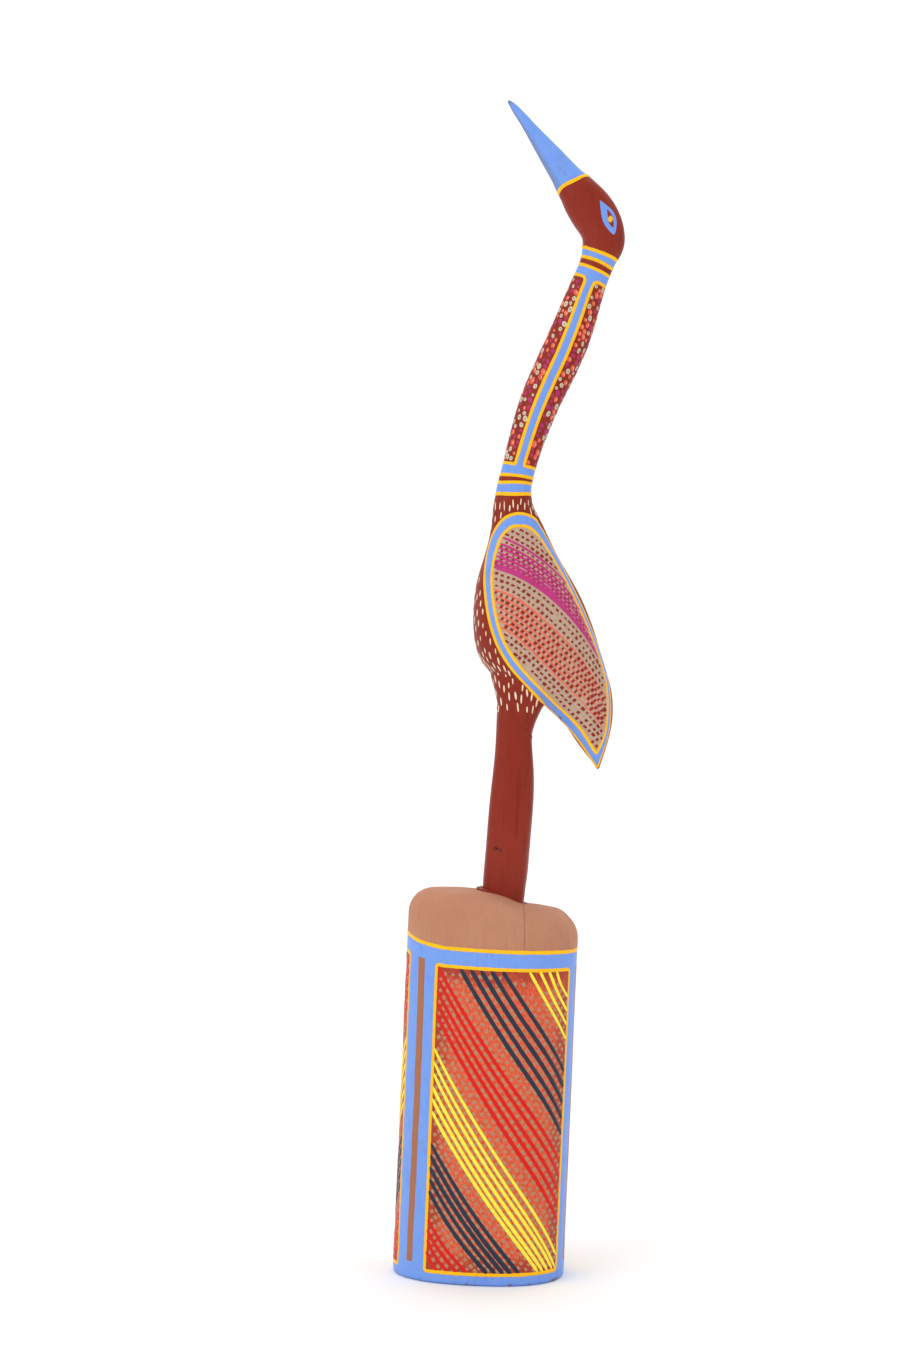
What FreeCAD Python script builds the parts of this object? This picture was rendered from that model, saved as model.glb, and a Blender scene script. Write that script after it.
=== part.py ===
"""A long-necked wading bird carved in wood, standing on one thick leg on a length of round log.

+Z is up, the bird looks towards -X, and its painted sides face -Y and +Y. The origin is the
middle of the log's flat foot. The bird is carved in five lengths (leg, body, neck, head and
beak), which are glued end to end on hidden dowels, and the leg ends in a round tenon that is
glued into a hole drilled in the log. Sizes are millimetres and degrees.
"""
import FreeCAD
import Part
import os
from collections import namedtuple
from math import cos, pi, radians, sin, sqrt, tan

# The log
block_width = 104.0          # left to right, measured level
block_depth = 97.0           # front to back
block_height = 234.5         # floor to the highest point of the crowned top
block_lean = 2.5             # how far the log leans towards the tail side
crown_radius = 170.0         # the top is crowned like part of a ball
crown_peak_x = -20.0         # the crown's highest point
shoulder_rounding = 15.0     # where the top turns over into the side
foot_rounding = 2.0          # the worn edge that the log stands on

# The leg, from the log's crown up to the sloping joint under the body
leg_foot_x = 16.0
leg_rise = 104.7
leg_reach = 6.3              # how far its top stands towards the tail side
leg_width = 26.8
leg_thickness = 23.0
leg_tenon_diameter = 18.0
leg_tenon_length = 56.0
glue_bead_width = 2.0        # how far the squeezed-out glue spreads on the log
glue_bead_height = 1.6       # how far it stands above the log

# The body, from the leg joint up to the neck joint, with its tail hanging behind the leg
body_rise = 137.5
body_reach = -0.6
body_width = 71.0            # chest to back, square across the body
body_thickness = 48.0
tail_drop = 166.0            # neck joint down to the tip of the tail
tail_reach = 51.7            # neck joint back to the tip of the tail

# The neck, from the body up to the head
neck_rise = 149.7
neck_reach = 53.0
neck_width = 25.8
neck_thickness = 21.5

# The head, from the neck up to the root of the beak
head_rise = 42.9
head_reach = -17.1
head_width = 28.7
head_thickness = 23.5

# The beak, from its root up to its tip
beak_rise = 50.4
beak_reach = -39.1

# The joints: slope of each face, and the outline that both its pieces share
leg_joint_lean = 38.5
leg_joint_width = 27.4
leg_joint_thickness = 22.5
neck_joint_lean = 0.0
neck_joint_width = 22.6
neck_joint_thickness = 20.0
head_joint_lean = 20.0
head_joint_width = 23.2
head_joint_thickness = 20.0
beak_joint_lean = -25.8
beak_joint_width = 21.6
beak_joint_thickness = 18.4

# The hidden dowels: diameter, whole length, and how far each leans from upright
leg_dowel_diameter = 9.0
leg_dowel_length = 44.0
leg_dowel_lean = 3.0
neck_dowel_diameter = 7.0
neck_dowel_length = 36.0
neck_dowel_lean = 6.0
head_dowel_diameter = 7.0
head_dowel_length = 30.0
head_dowel_lean = 14.0
beak_dowel_diameter = 6.0
beak_dowel_length = 26.0
beak_dowel_lean = -32.0

glue_gap = 0.15              # around every dowel and the tenon
end_gap = 1.0                # left for glue beyond the end of a dowel or tenon
outline_points = 16          # points around a limb's outline
pole_width = 1.6             # the smallest outline that a pointed end closes on
spare = 30.0                 # how far a cutting shape runs past what it cuts

# The log's outline seen from above, as shares of half its width and half its depth. It has a
# flatter front, a rounded corner at each side of it, and a back that is close to round.
LOG_OUTLINE = (
    (-1.00, 0.06), (-0.89, -0.39), (-0.64, -0.69), (-0.29, -0.88), (0.14, -0.98),
    (0.48, -0.96), (0.76, -0.80), (0.94, -0.52), (1.00, -0.12), (0.94, 0.38),
    (0.66, 0.80), (0.16, 1.00), (-0.38, 0.95), (-0.80, 0.64),
)

# A row is one outline across a limb. up and along place its middle, as shares of the limb's
# rise and reach; lean turns it; wide and thick are shares of the limb's width and thickness;
# square is 2 for an ellipse and more for a squarer outline; egg thins its +X side.
Row = namedtuple("Row", "up along lean wide thick square egg")

LEG_ROWS = (
    Row(-0.16, -0.16, 4.0, 1.00, 1.00, 2.6, 0.0),
    Row(0.07, 0.05, 4.0, 0.99, 0.98, 2.6, 0.0),
    Row(0.24, 0.32, 4.0, 1.00, 1.00, 2.6, 0.0),
    Row(0.42, 0.57, 4.0, 1.00, 1.00, 2.6, 0.0),
    Row(0.60, 0.80, 3.0, 0.98, 0.98, 2.6, 0.0),
    Row(0.75, 0.92, 5.0, 0.91, 0.93, 2.6, 0.0),
    Row(0.865, 0.95, 15.0, 0.87, 0.90, 2.6, 0.0),
)
THIGH_ROWS = (
    Row(0.098, 0.048, 20.0, 0.43, 0.52, 2.4, 0.0),
    Row(0.195, 0.104, 10.0, 0.58, 0.70, 2.2, 0.0),
    Row(0.320, 0.145, 0.0, 0.66, 0.80, 2.0, 0.0),
)
TRUNK_ROWS = (
    Row(-0.055, 0.002, -8.0, 0.370, 0.43, 2.0, 0.05),
    Row(-0.122, 0.023, -17.2, 0.475, 0.50, 2.0, 0.10),
    Row(-0.254, 0.044, -17.2, 0.715, 0.76, 2.0, 0.18),
    Row(-0.380, 0.124, -17.2, 0.913, 0.94, 2.0, 0.25),
    Row(-0.564, 0.320, -17.2, 0.985, 1.00, 2.0, 0.25),
    Row(-0.660, 0.563, -17.2, 0.775, 0.84, 2.0, 0.22),
    Row(-0.737, 0.782, -17.2, 0.565, 0.62, 2.0, 0.15),
    Row(-0.876, 0.948, -17.2, 0.315, 0.32, 2.0, 0.05),
    Row(-0.954, 0.988, -17.2, 0.131, 0.18, 2.0, 0.0),
)
NECK_ROWS = (
    Row(0.094, 0.042, 12.0, 0.79, 0.88, 2.0, 0.0),
    Row(0.233, 0.151, 17.0, 0.84, 0.90, 2.0, 0.0),
    Row(0.397, 0.312, 22.5, 0.95, 0.97, 2.0, 0.0),
    Row(0.560, 0.527, 24.0, 1.00, 1.00, 2.0, 0.0),
    Row(0.724, 0.718, 21.5, 0.95, 0.96, 2.0, 0.0),
    Row(0.888, 0.885, 19.7, 0.81, 0.88, 2.0, 0.0),
)
HEAD_ROWS = (
    Row(0.294, -0.068, 0.0, 0.970, 0.98, 2.1, 0.0),
    Row(0.612, 0.306, -19.6, 1.000, 1.00, 2.2, 0.0),
    Row(0.828, 0.660, -24.0, 0.890, 0.93, 2.2, 0.0),
)
BEAK_ROWS = (
    Row(0.228, 0.229, -30.0, 0.732, 0.78, 2.0, 0.0),
    Row(0.469, 0.463, -34.0, 0.533, 0.59, 2.0, 0.0),
    Row(0.707, 0.693, -36.0, 0.344, 0.39, 2.0, 0.0),
    Row(0.908, 0.893, -38.0, 0.210, 0.24, 2.0, 0.0),
)


def point(base, across, up):
    """A place in the bird's side view, measured from base."""
    return base + FreeCAD.Vector(across, 0, up)


def leaning(lean):
    """The upward direction that leans this far towards +X."""
    return FreeCAD.Vector(sin(radians(lean)), 0, cos(radians(lean)))


def smooth_loop(places):
    """One closed smooth curve through the places."""
    curve = Part.BSplineCurve()
    curve.interpolate(places, PeriodicFlag=True)
    return Part.Wire([curve.toShape()])


def outline(middle, lean, width, thickness, square=2.0, egg=0.0):
    """The closed outline of a limb on a plane square to its leaning direction."""
    across = FreeCAD.Vector(cos(radians(lean)), 0, -sin(radians(lean)))
    places = []
    for step in range(outline_points):
        turn = 2 * pi * step / outline_points
        swell = (abs(cos(turn)) ** square + abs(sin(turn)) ** square) ** (-1 / square)
        out = width / 2 * swell * cos(turn)
        side = thickness / 2 * swell * sin(turn) * (1 - egg * cos(turn))
        places.append(middle + across * out + FreeCAD.Vector(0, side, 0))
    return smooth_loop(places)


def row_outlines(rows, base, rise, reach, width, thickness):
    """The outlines of a limb's rows, measured from base."""
    return [outline(point(base, row.along * reach, row.up * rise), row.lean, row.wide * width,
                    row.thick * thickness, row.square, row.egg) for row in rows]


def dowel(middle, lean, diameter, length):
    """A round dowel, centred on a joint."""
    start = middle - leaning(lean) * (length / 2)
    return Part.makeCylinder(diameter / 2, length, start, leaning(lean))


def socket(middle, lean, diameter, length):
    """The hole that a dowel's two pieces share: it stands on the lower end, and glue fills the rest."""
    start = middle - leaning(lean) * (length / 2)
    return Part.makeCylinder(diameter / 2 + glue_gap, length + end_gap, start, leaning(lean))


# Where the pieces meet
crown_drop = crown_radius - sqrt(crown_radius ** 2 - (leg_foot_x - crown_peak_x) ** 2)
leg_foot = FreeCAD.Vector(leg_foot_x, 0, block_height - crown_drop)
leg_joint = point(leg_foot, leg_reach, leg_rise)
neck_joint = point(leg_joint, body_reach, body_rise)
head_joint = point(neck_joint, neck_reach, neck_rise)
beak_joint = point(head_joint, head_reach, head_rise)

leg_joint_outline = outline(leg_joint, leg_joint_lean, leg_joint_width, leg_joint_thickness,
                            LEG_ROWS[-1].square)
neck_joint_outline = outline(neck_joint, neck_joint_lean, neck_joint_width, neck_joint_thickness)
head_joint_outline = outline(head_joint, head_joint_lean, head_joint_width, head_joint_thickness)
beak_joint_outline = outline(beak_joint, beak_joint_lean, beak_joint_width, beak_joint_thickness)

leg_joint_socket = socket(leg_joint, leg_dowel_lean, leg_dowel_diameter, leg_dowel_length)
neck_joint_socket = socket(neck_joint, neck_dowel_lean, neck_dowel_diameter, neck_dowel_length)
head_joint_socket = socket(head_joint, head_dowel_lean, head_dowel_diameter, head_dowel_length)
beak_joint_socket = socket(beak_joint, beak_dowel_lean, beak_dowel_diameter, beak_dowel_length)


def make_log():
    """The log before it is drilled: a leaning length of timber with a crowned, rounded top."""
    places = [FreeCAD.Vector(u * block_width / 2, v * block_depth / 2, 0) for u, v in LOG_OUTLINE]
    height = block_height + spare
    lean = FreeCAD.Vector(height * tan(radians(block_lean)), 0, height)
    timber = Part.Face(smooth_loop(places)).extrude(lean)
    ball_middle = FreeCAD.Vector(crown_peak_x, 0, block_height - crown_radius)
    ball = Part.makeSphere(crown_radius, ball_middle)
    log = timber.common(ball)
    top_edges = [e for e in log.Edges if e.BoundBox.ZMin > block_height / 2]
    log = log.makeFillet(shoulder_rounding, top_edges)
    foot_edges = [e for e in log.Edges if e.BoundBox.ZMax < foot_rounding / 2]
    return log.makeFillet(foot_rounding, foot_edges)


def make_leg(log):
    """The leg, scribed to the log's crown, with its tenon and half of the body's dowel hole."""
    rows = row_outlines(LEG_ROWS, leg_foot, leg_rise, leg_reach, leg_width, leg_thickness)
    shank = Part.makeLoft(rows + [leg_joint_outline], True).cut(log)
    return shank.fuse(tenon(leg_tenon_diameter, leg_tenon_length)).cut(leg_joint_socket)


def tenon(diameter, length):
    """The leg's tenon, or the mortise for it: a round peg that starts inside the foot of the leg."""
    lean = leaning(LEG_ROWS[0].lean)
    inside_leg = leg_width / 2
    start = leg_foot - lean * length
    return Part.makeCylinder(diameter / 2, length + inside_leg, start, lean)


def make_glue_bead(log, leg):
    """The bead of glue squeezed out around the foot of the leg: it follows the log's crown."""
    width = leg_width + 2 * glue_bead_width
    thickness = leg_thickness + 2 * glue_bead_width
    ends = [outline(point(leg_foot, 0, up), 0, width, thickness, LEG_ROWS[0].square)
            for up in (-spare / 2, spare / 2)]
    raised_log = log.translated(FreeCAD.Vector(0, 0, glue_bead_height))
    return Part.makeLoft(ends, True).common(raised_log).cut(log).cut(leg)


def make_body():
    """Chest, wings, back and tail in one piece, with a short thigh that meets the leg."""
    trunk_rows = row_outlines(TRUNK_ROWS, neck_joint, tail_drop, tail_reach, body_width, body_thickness)
    tail_tip = point(neck_joint, tail_reach, -tail_drop)
    tip_outline = outline(tail_tip, TRUNK_ROWS[-1].lean, pole_width, pole_width)
    trunk = Part.makeLoft([neck_joint_outline] + trunk_rows + [tip_outline], True)
    thigh_rows = row_outlines(THIGH_ROWS, leg_joint, body_rise, tail_reach, body_width, body_thickness)
    thigh = Part.makeLoft([leg_joint_outline] + thigh_rows, True)
    return trunk.fuse(thigh).cut(leg_joint_socket).cut(neck_joint_socket)


def make_neck():
    """The neck, between its two dowelled ends."""
    rows = row_outlines(NECK_ROWS, neck_joint, neck_rise, neck_reach, neck_width, neck_thickness)
    neck = Part.makeLoft([neck_joint_outline] + rows + [head_joint_outline], True)
    return neck.cut(neck_joint_socket).cut(head_joint_socket)


def make_head():
    """The head, which turns from the neck's lean to the beak's."""
    rows = row_outlines(HEAD_ROWS, head_joint, head_rise, head_reach, head_width, head_thickness)
    head = Part.makeLoft([head_joint_outline] + rows + [beak_joint_outline], True)
    return head.cut(head_joint_socket).cut(beak_joint_socket)


def make_beak():
    """The long pointed beak."""
    rows = row_outlines(BEAK_ROWS, beak_joint, beak_rise, beak_reach, beak_joint_width,
                        beak_joint_thickness)
    tip = outline(point(beak_joint, beak_reach, beak_rise), BEAK_ROWS[-1].lean, pole_width, pole_width)
    return Part.makeLoft([beak_joint_outline] + rows + [tip], True).cut(beak_joint_socket)


log = make_log()
leg = make_leg(log)
mortise = tenon(leg_tenon_diameter + 2 * glue_gap, leg_tenon_length + end_gap)

pieces = {
    "base_block": log.cut(mortise),
    "leg_post": leg,
    "foot_glue_bead": make_glue_bead(log, leg),
    "leg_dowel": dowel(leg_joint, leg_dowel_lean, leg_dowel_diameter, leg_dowel_length),
    "body": make_body(),
    "neck_dowel": dowel(neck_joint, neck_dowel_lean, neck_dowel_diameter, neck_dowel_length),
    "neck": make_neck(),
    "head_dowel": dowel(head_joint, head_dowel_lean, head_dowel_diameter, head_dowel_length),
    "head": make_head(),
    "beak_dowel": dowel(beak_joint, beak_dowel_lean, beak_dowel_diameter, beak_dowel_length),
    "beak": make_beak(),
}

os.makedirs("parts", exist_ok=True)
for name, piece in pieces.items():
    piece.exportStep(f"parts/{name}.step")
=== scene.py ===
"""A carved and painted wading bird on a log: the looks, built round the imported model.

Each carved length of wood is a softened, hand-cut copy of its CAD solid, with the flat colours of
its paint laid on as masks. Every stroke on top (outlines, dashes, dots, hatching) is a thin solid
of its own, set on the carved surface by Geometry Nodes. Layout sizes are in millimetres.
"""
from math import cos, hypot, pi, radians, sin, sqrt

import bmesh
import bpy
import numpy as np
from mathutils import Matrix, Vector, noise
from mathutils.bvhtree import BVHTree


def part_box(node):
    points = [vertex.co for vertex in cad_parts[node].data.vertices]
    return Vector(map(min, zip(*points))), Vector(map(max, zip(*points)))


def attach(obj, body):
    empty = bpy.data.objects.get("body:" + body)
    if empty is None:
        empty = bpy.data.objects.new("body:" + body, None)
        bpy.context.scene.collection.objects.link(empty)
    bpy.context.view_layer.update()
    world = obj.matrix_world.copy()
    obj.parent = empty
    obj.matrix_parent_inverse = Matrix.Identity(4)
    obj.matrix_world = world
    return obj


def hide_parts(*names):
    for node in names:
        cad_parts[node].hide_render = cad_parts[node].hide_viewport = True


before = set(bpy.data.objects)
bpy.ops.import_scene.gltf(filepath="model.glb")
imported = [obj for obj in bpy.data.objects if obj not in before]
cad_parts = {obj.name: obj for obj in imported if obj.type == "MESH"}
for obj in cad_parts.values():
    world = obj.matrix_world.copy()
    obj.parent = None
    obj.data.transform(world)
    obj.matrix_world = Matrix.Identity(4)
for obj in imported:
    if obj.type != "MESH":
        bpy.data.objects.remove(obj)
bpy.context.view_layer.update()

MM = 0.001


# ---------------------------------------------------------------- places

def middle(node):
    """The middle of a CAD piece's box, in millimetres."""
    low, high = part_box(node)
    return (low + high) / 2 / MM


LEG_JOINT = middle("leg_dowel")        # each dowel is centred on its joint
NECK_JOINT = middle("neck_dowel")
HEAD_JOINT = middle("head_dowel")
BEAK_JOINT = middle("beak_dowel")
LOG_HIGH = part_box("base_block")[1] / MM


# ---------------------------------------------------------------- node trees

class Wire:
    """One output in a node tree. Arithmetic on it adds Math nodes."""

    def __init__(self, tree, socket):
        self.tree = tree
        self.socket = socket

    def math(self, operation, *values):
        return self.tree.node("ShaderNodeMath", {"operation": operation}, dict(enumerate(values)))

    def __add__(self, other):
        return self.math("ADD", self, other)

    def __sub__(self, other):
        return self.math("SUBTRACT", self, other)

    def __mul__(self, other):
        return self.math("MULTIPLY", self, other)

    def __truediv__(self, other):
        return self.math("DIVIDE", self, other)

    def __rsub__(self, other):
        return self.math("SUBTRACT", other, self)

    def __rtruediv__(self, other):
        return self.math("DIVIDE", other, self)

    def __neg__(self):
        return self.math("MULTIPLY", self, -1)

    def __abs__(self):
        return self.math("ABSOLUTE", self)

    def __pow__(self, other):
        return self.math("POWER", self, other)

    __radd__ = __add__
    __rmul__ = __mul__

    def most(self, other):
        return self.math("MAXIMUM", self, other)

    def step(self, low, high):
        """0 below low and 1 above high, with a smooth climb between."""
        return self.tree.node("ShaderNodeMapRange", {"interpolation_type": "SMOOTHSTEP"},
                              {"Value": self, "From Min": low, "From Max": high})


class Tree:
    """A node tree being built."""

    def __init__(self, node_tree):
        self.nodes = node_tree.nodes
        self.links = node_tree.links

    def node(self, kind, settings=None, inputs=None, out=0):
        """Adds a node, makes its settings, then gives its sockets values or links."""
        made = self.nodes.new(kind)
        for name, value in (settings or {}).items():
            setattr(made, name, value)
        for key, value in (inputs or {}).items():
            socket = self.find(made.inputs, key)
            if isinstance(value, Wire):
                self.links.new(value.socket, socket)
            elif value is not None:
                socket.default_value = value
        return Wire(self, self.find(made.outputs, out))

    @staticmethod
    def find(sockets, key):
        """A socket by place, identifier or name."""
        if isinstance(key, int):
            return sockets[key]
        same = [s for s in sockets if s.identifier == key]
        return same[0] if same else sockets[key]

    def attribute(self, name, out="Fac"):
        """A number kept on the mesh, for a material."""
        return self.node("ShaderNodeAttribute", {"attribute_name": name}, out=out)

    def mix(self, factor, low, high, blend="MIX"):
        """One colour over another."""
        return self.node("ShaderNodeMix", {"data_type": "RGBA", "blend_type": blend},
                         {"Factor_Float": factor, "A_Color": low, "B_Color": high}, "Result_Color")

    def place(self, turn=(0, 0, 0), scale=(1, 1, 1)):
        """Object coordinates, turned and stretched."""
        spot = self.node("ShaderNodeTexCoord", out="Object")
        turned = self.node("ShaderNodeMapping", None, {"Vector": spot, "Rotation": turn})
        return self.node("ShaderNodeMapping", None, {"Vector": turned, "Scale": scale})

    def grain(self, vector, scale, detail=3.0, rough=0.55, out="Fac"):
        """Noise at so many waves a metre."""
        return self.node("ShaderNodeTexNoise", {"noise_dimensions": "3D"},
                         {"Vector": vector, "Scale": scale, "Detail": detail, "Roughness": rough}, out)


def shade(red, green, blue):
    """A screen colour out of 255 as a linear one."""
    def linear(part):
        part /= 255
        return part / 12.92 if part <= 0.04045 else ((part + 0.055) / 1.055) ** 2.4
    return (linear(red), linear(green), linear(blue), 1.0)


EARTH_RED = shade(134, 36, 17)
DEEP_RED = shade(104, 23, 13)
SKY_BLUE = shade(113, 153, 227)
DEEP_BLUE = shade(90, 129, 217)
YELLOW = shade(252, 188, 4)
LEMON = shade(252, 228, 66)
NAVY = shade(38, 48, 64)
SCARLET = shade(214, 20, 10)
MAGENTA = shade(188, 52, 122)
BEIGE = shade(188, 161, 138)
CREAM = shade(234, 216, 184)
PALE_BROWN = shade(176, 130, 98)
STRIPE_BROWN = shade(160, 103, 72)
BARE_WOOD = shade(180, 125, 97)
DARK_WOOD = shade(70, 36, 26)


# ---------------------------------------------------------------- materials

SHEEN = 0.2                           # how little the matt paint mirrors
BUMP_DISTANCE = 0.4                   # millimetres of relief in the paint


def new_material(name):
    """A material with one Principled shader, and the tree to work in."""
    made = bpy.data.materials.new(name)
    made.use_nodes = True
    tree = Tree(made.node_tree)
    shader = tree.nodes["Principled BSDF"]
    shader.inputs["Specular IOR Level"].default_value = SHEEN
    return made, tree, shader


def dress(tree, shader, colour, rough, height, deep=0.12):
    """Links colour, roughness and relief to the shader."""
    tree.links.new(colour.socket, shader.inputs["Base Color"])
    tree.links.new(rough.socket, shader.inputs["Roughness"])
    relief = tree.node("ShaderNodeBump", None,
                       {"Strength": deep, "Distance": BUMP_DISTANCE * MM, "Height": height})
    tree.links.new(relief.socket, shader.inputs["Normal"])


def brushed(tree, colour, dark, along=(1, 1, 0.16), amount=0.45):
    """A brushed coat: the colour, with long streaks and thin places going darker."""
    streaks = tree.grain(tree.place(scale=along), 900, 2.0)
    cloud = tree.grain(tree.place(), 70, 3.0)
    thin = (streaks * 0.6 + cloud * 0.4).step(0.46, 0.72) * amount
    return tree.mix(thin, colour, dark)


def paint(name, colour, dark, gloss=0.42, amount=0.5):
    """A stroke of thick paint, a little uneven in colour and sheen."""
    made, tree, shader = new_material(name)
    fine = tree.grain(tree.place(), 1400, 2.0)
    coat = brushed(tree, colour, dark, amount=amount)
    dress(tree, shader, coat, fine * 0.16 + (gloss - 0.08), fine, 0.25)
    return made


def dowel_wood():
    """Pale turned wood with long grain."""
    made, tree, shader = new_material("dowel_wood")
    grain = tree.grain(tree.place(scale=(1, 1, 0.08)), 1600, 4.0)
    colour = tree.mix(grain.step(0.35, 0.7), shade(206, 172, 126), shade(158, 116, 74))
    dress(tree, shader, colour, grain * 0.2 + 0.55, grain, 0.3)
    return made


def glue_coat():
    """Squeezed-out glue, painted over in the leg's red, with a wet sheen."""
    made, tree, shader = new_material("painted_glue")
    cloud = tree.grain(tree.place(), 330, 3.0)
    colour = tree.mix(cloud.step(0.56, 0.68) * 0.8, EARTH_RED, shade(72, 18, 12))
    dress(tree, shader, colour, cloud * 0.3 + 0.24, cloud, 0.4)
    return made


def earth_red_coat(tree):
    """The red ground that covers the bird: satin, with faint lengthways knife marks."""
    marks = tree.grain(tree.place(scale=(1, 1, 0.07)), 420, 3.0)
    cloud = tree.grain(tree.place(scale=(1, 1, 0.5)), 45, 3.0)
    light = tree.mix(cloud.step(0.4, 0.68) * 0.55, EARTH_RED, shade(143, 47, 29))
    return tree.mix(marks.step(0.5, 0.74) * 0.5, light, DEEP_RED), marks


def blue_coat(tree, worn=0.35):
    """The blue, brushed thin in places so that grey-brown shows."""
    tone = brushed(tree, SKY_BLUE, DEEP_BLUE, amount=0.55)
    rub = tree.grain(tree.place(scale=(1, 1, 0.5)), 150, 4.0)
    return tree.mix(rub.step(0.58, 0.76) * worn, tone, shade(124, 122, 134))


def head_ground():
    """Earth red with the blue band of each eye."""
    made, tree, shader = new_material("head_ground")
    red, marks = earth_red_coat(tree)
    colour = tree.mix(tree.attribute("blue").step(-0.12, 0.12), red, blue_coat(tree, 0.4))
    fine = tree.grain(tree.place(), 1500, 2.0)
    dress(tree, shader, colour, marks * 0.2 + 0.36, marks * 0.7 + fine * 0.3, 0.3)
    return made


def leg_ground():
    """Earth red with an old knot and a short check left in the wood."""
    made, tree, shader = new_material("leg_ground")
    colour, marks = earth_red_coat(tree)
    knot = tree.attribute("knot")
    check = tree.attribute("check")
    broken = tree.grain(tree.place(), 420, 2.0).step(0.34, 0.5)
    ring = 1 - abs(knot - KNOT_RADIUS).step(0.05, 0.5)
    heart = 1 - tree.attribute("heart").step(0.5, 1.3)
    colour = tree.mix((ring * broken).most(heart) * 0.85, colour, shade(56, 10, 8))
    colour = tree.mix((1 - check.step(0.0, 0.45)) * 0.8, colour, shade(80, 18, 16))
    height = marks * 0.6 + knot.step(0.0, 2.6)
    dress(tree, shader, colour, marks * 0.2 + 0.34, height, 0.3)
    return made


def beak_ground():
    """Blue with grey-brown rubbed through along the edges."""
    # Blue, greyer at the tip, with grey painted shade brushed in streaks over the faces turned down and
    # to the left.
    made, tree, shader = new_material("beak_ground")
    fine = tree.grain(tree.place(scale=(1, 1, 0.3)), 900, 3.0)
    colour = blue_coat(tree, 0.55)
    tip = tree.attribute("tip")
    colour = tree.mix((1 - tip.step(1.0, 3.5)) * 0.5, colour, shade(96, 92, 108))
    # painted shade: grey mixed in streaks where the beak faces down and to the left
    rubbed = tree.attribute("under").step(0.45, 0.95) * (fine * 0.6 + 0.25)
    colour = tree.mix(rubbed, colour, shade(112, 108, 124))
    dress(tree, shader, colour, fine * 0.2 + 0.36, fine, 0.3)
    return made


def body_ground():
    """Earth red, with a blue border and a beige field inside the wing's outlines."""
    made, tree, shader = new_material("body_ground")
    red, marks = earth_red_coat(tree)
    blue = blue_coat(tree, 0.6)
    fine = tree.grain(tree.place(scale=(1, 1, 0.4)), 1300, 3.0)
    beige = tree.mix(fine.step(0.4, 0.7), BEIGE, shade(168, 138, 118))
    colour = tree.mix(tree.attribute("wing").step(-0.1, 0.1), red, blue)
    colour = tree.mix(tree.attribute("field").step(-0.1, 0.1), colour, beige)
    colour = tree.mix((1 - tree.attribute("chip").step(0.9, 1.8)) * 0.9, colour, shade(84, 52, 36))
    dress(tree, shader, colour, fine * 0.2 + 0.34, marks * 0.5 + fine * 0.5, 0.3)
    return made


def neck_ground():
    """Earth red panels, blue stripes and collars."""
    made, tree, shader = new_material("neck_ground")
    red, marks = earth_red_coat(tree)
    blue = blue_coat(tree, 0.25)
    colour = tree.mix(tree.attribute("blue").step(-0.1, 0.1), red, blue)
    dress(tree, shader, colour, marks * 0.2 + 0.34, marks, 0.3)
    return made


def hatch_coat(tree):
    """The panels' ground: coral scumbled over dark red, in two slanting directions."""
    s = tree.attribute("around")
    z = tree.attribute("height")
    slant = radians(57)
    down = s * cos(slant) - z * sin(slant)
    across = s * sin(slant) + z * cos(slant)
    one = tree.node("ShaderNodeCombineXYZ", None, {"X": down * 0.14, "Y": across})
    two = tree.node("ShaderNodeCombineXYZ", None, {"X": s, "Y": z * 0.2})
    speckle = tree.grain(one, 2.6, 3.0) * 0.55 + tree.grain(two, 2.2, 3.0) * 0.45
    coral = tree.mix(speckle.step(0.44, 0.62), shade(224, 101, 66), shade(176, 50, 30))
    edge = tree.attribute("panel") + (tree.grain(tree.place(), 120, 3.0) - 0.5) * 16
    return tree.mix((1 - edge.step(2.0, 15.0)) * 0.62, coral, shade(124, 28, 22)), speckle


def wood_coat(tree):
    """Bare rubbed wood: fine upright grain, a crack and the marks of the knife."""
    grain = tree.grain(tree.place(scale=(1, 1, 0.1)), 520, 5.0, 0.6)
    cloud = tree.grain(tree.place(scale=(1, 1, 0.6)), 34, 4.0)
    colour = tree.mix(grain.step(0.42, 0.78) * 0.24, BARE_WOOD, shade(152, 97, 74))
    colour = tree.mix(cloud.step(0.42, 0.7) * 0.4, colour, shade(192, 142, 115))
    crack = abs(tree.attribute("crack") + (tree.grain(tree.place(), 220, 2.0) - 0.5) * 1.4)
    open_crack = (1 - crack.step(0.12, 0.5)) * tree.attribute("cracked")
    return tree.mix(open_crack * 0.4, colour, DARK_WOOD), grain


def log_ground():
    """Bare wood on top, then blue, with brown stripes and hatched panels."""
    made, tree, shader = new_material("log_ground")
    wood, grain = wood_coat(tree)
    hatch, speckle = hatch_coat(tree)
    colour = blue_coat(tree, 0.4)
    colour = tree.mix(tree.attribute("stripe").step(-0.12, 0.12), colour, STRIPE_BROWN)
    colour = tree.mix(tree.attribute("panel").step(-0.2, 0.2), colour, hatch)
    bare = tree.attribute("cap").step(-0.2, 0.2)
    colour = tree.mix(bare, colour, wood)
    nick = tree.grain(tree.place(), 120, 4.0)
    low = 1 - tree.attribute("height").step(0.2, 3.0)
    colour = tree.mix(low * nick.step(0.56, 0.62), colour, shade(110, 84, 72))
    rough = bare * 0.32 + grain * 0.16 + 0.34
    dress(tree, shader, colour, rough, grain * 0.4 + speckle * 0.6, 0.22)
    return made


def floor_finish():
    """A plain pale floor and wall."""
    made, tree, shader = new_material("pale_floor")
    fine = tree.grain(tree.place(), 30, 3.0)
    colour = tree.mix(fine * 0.15, shade(247, 247, 247), shade(240, 240, 240))
    tree.links.new(colour.socket, shader.inputs["Base Color"])
    shader.inputs["Roughness"].default_value = 0.75
    return made


# ---------------------------------------------------------------- carving

WELD = 1e-6          # metres
PULL_IN = 0.5
PUSH_OUT = -0.52


def link(name, mesh):
    made = bpy.data.objects.new(name, mesh)
    bpy.context.scene.collection.objects.link(made)
    return made


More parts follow.
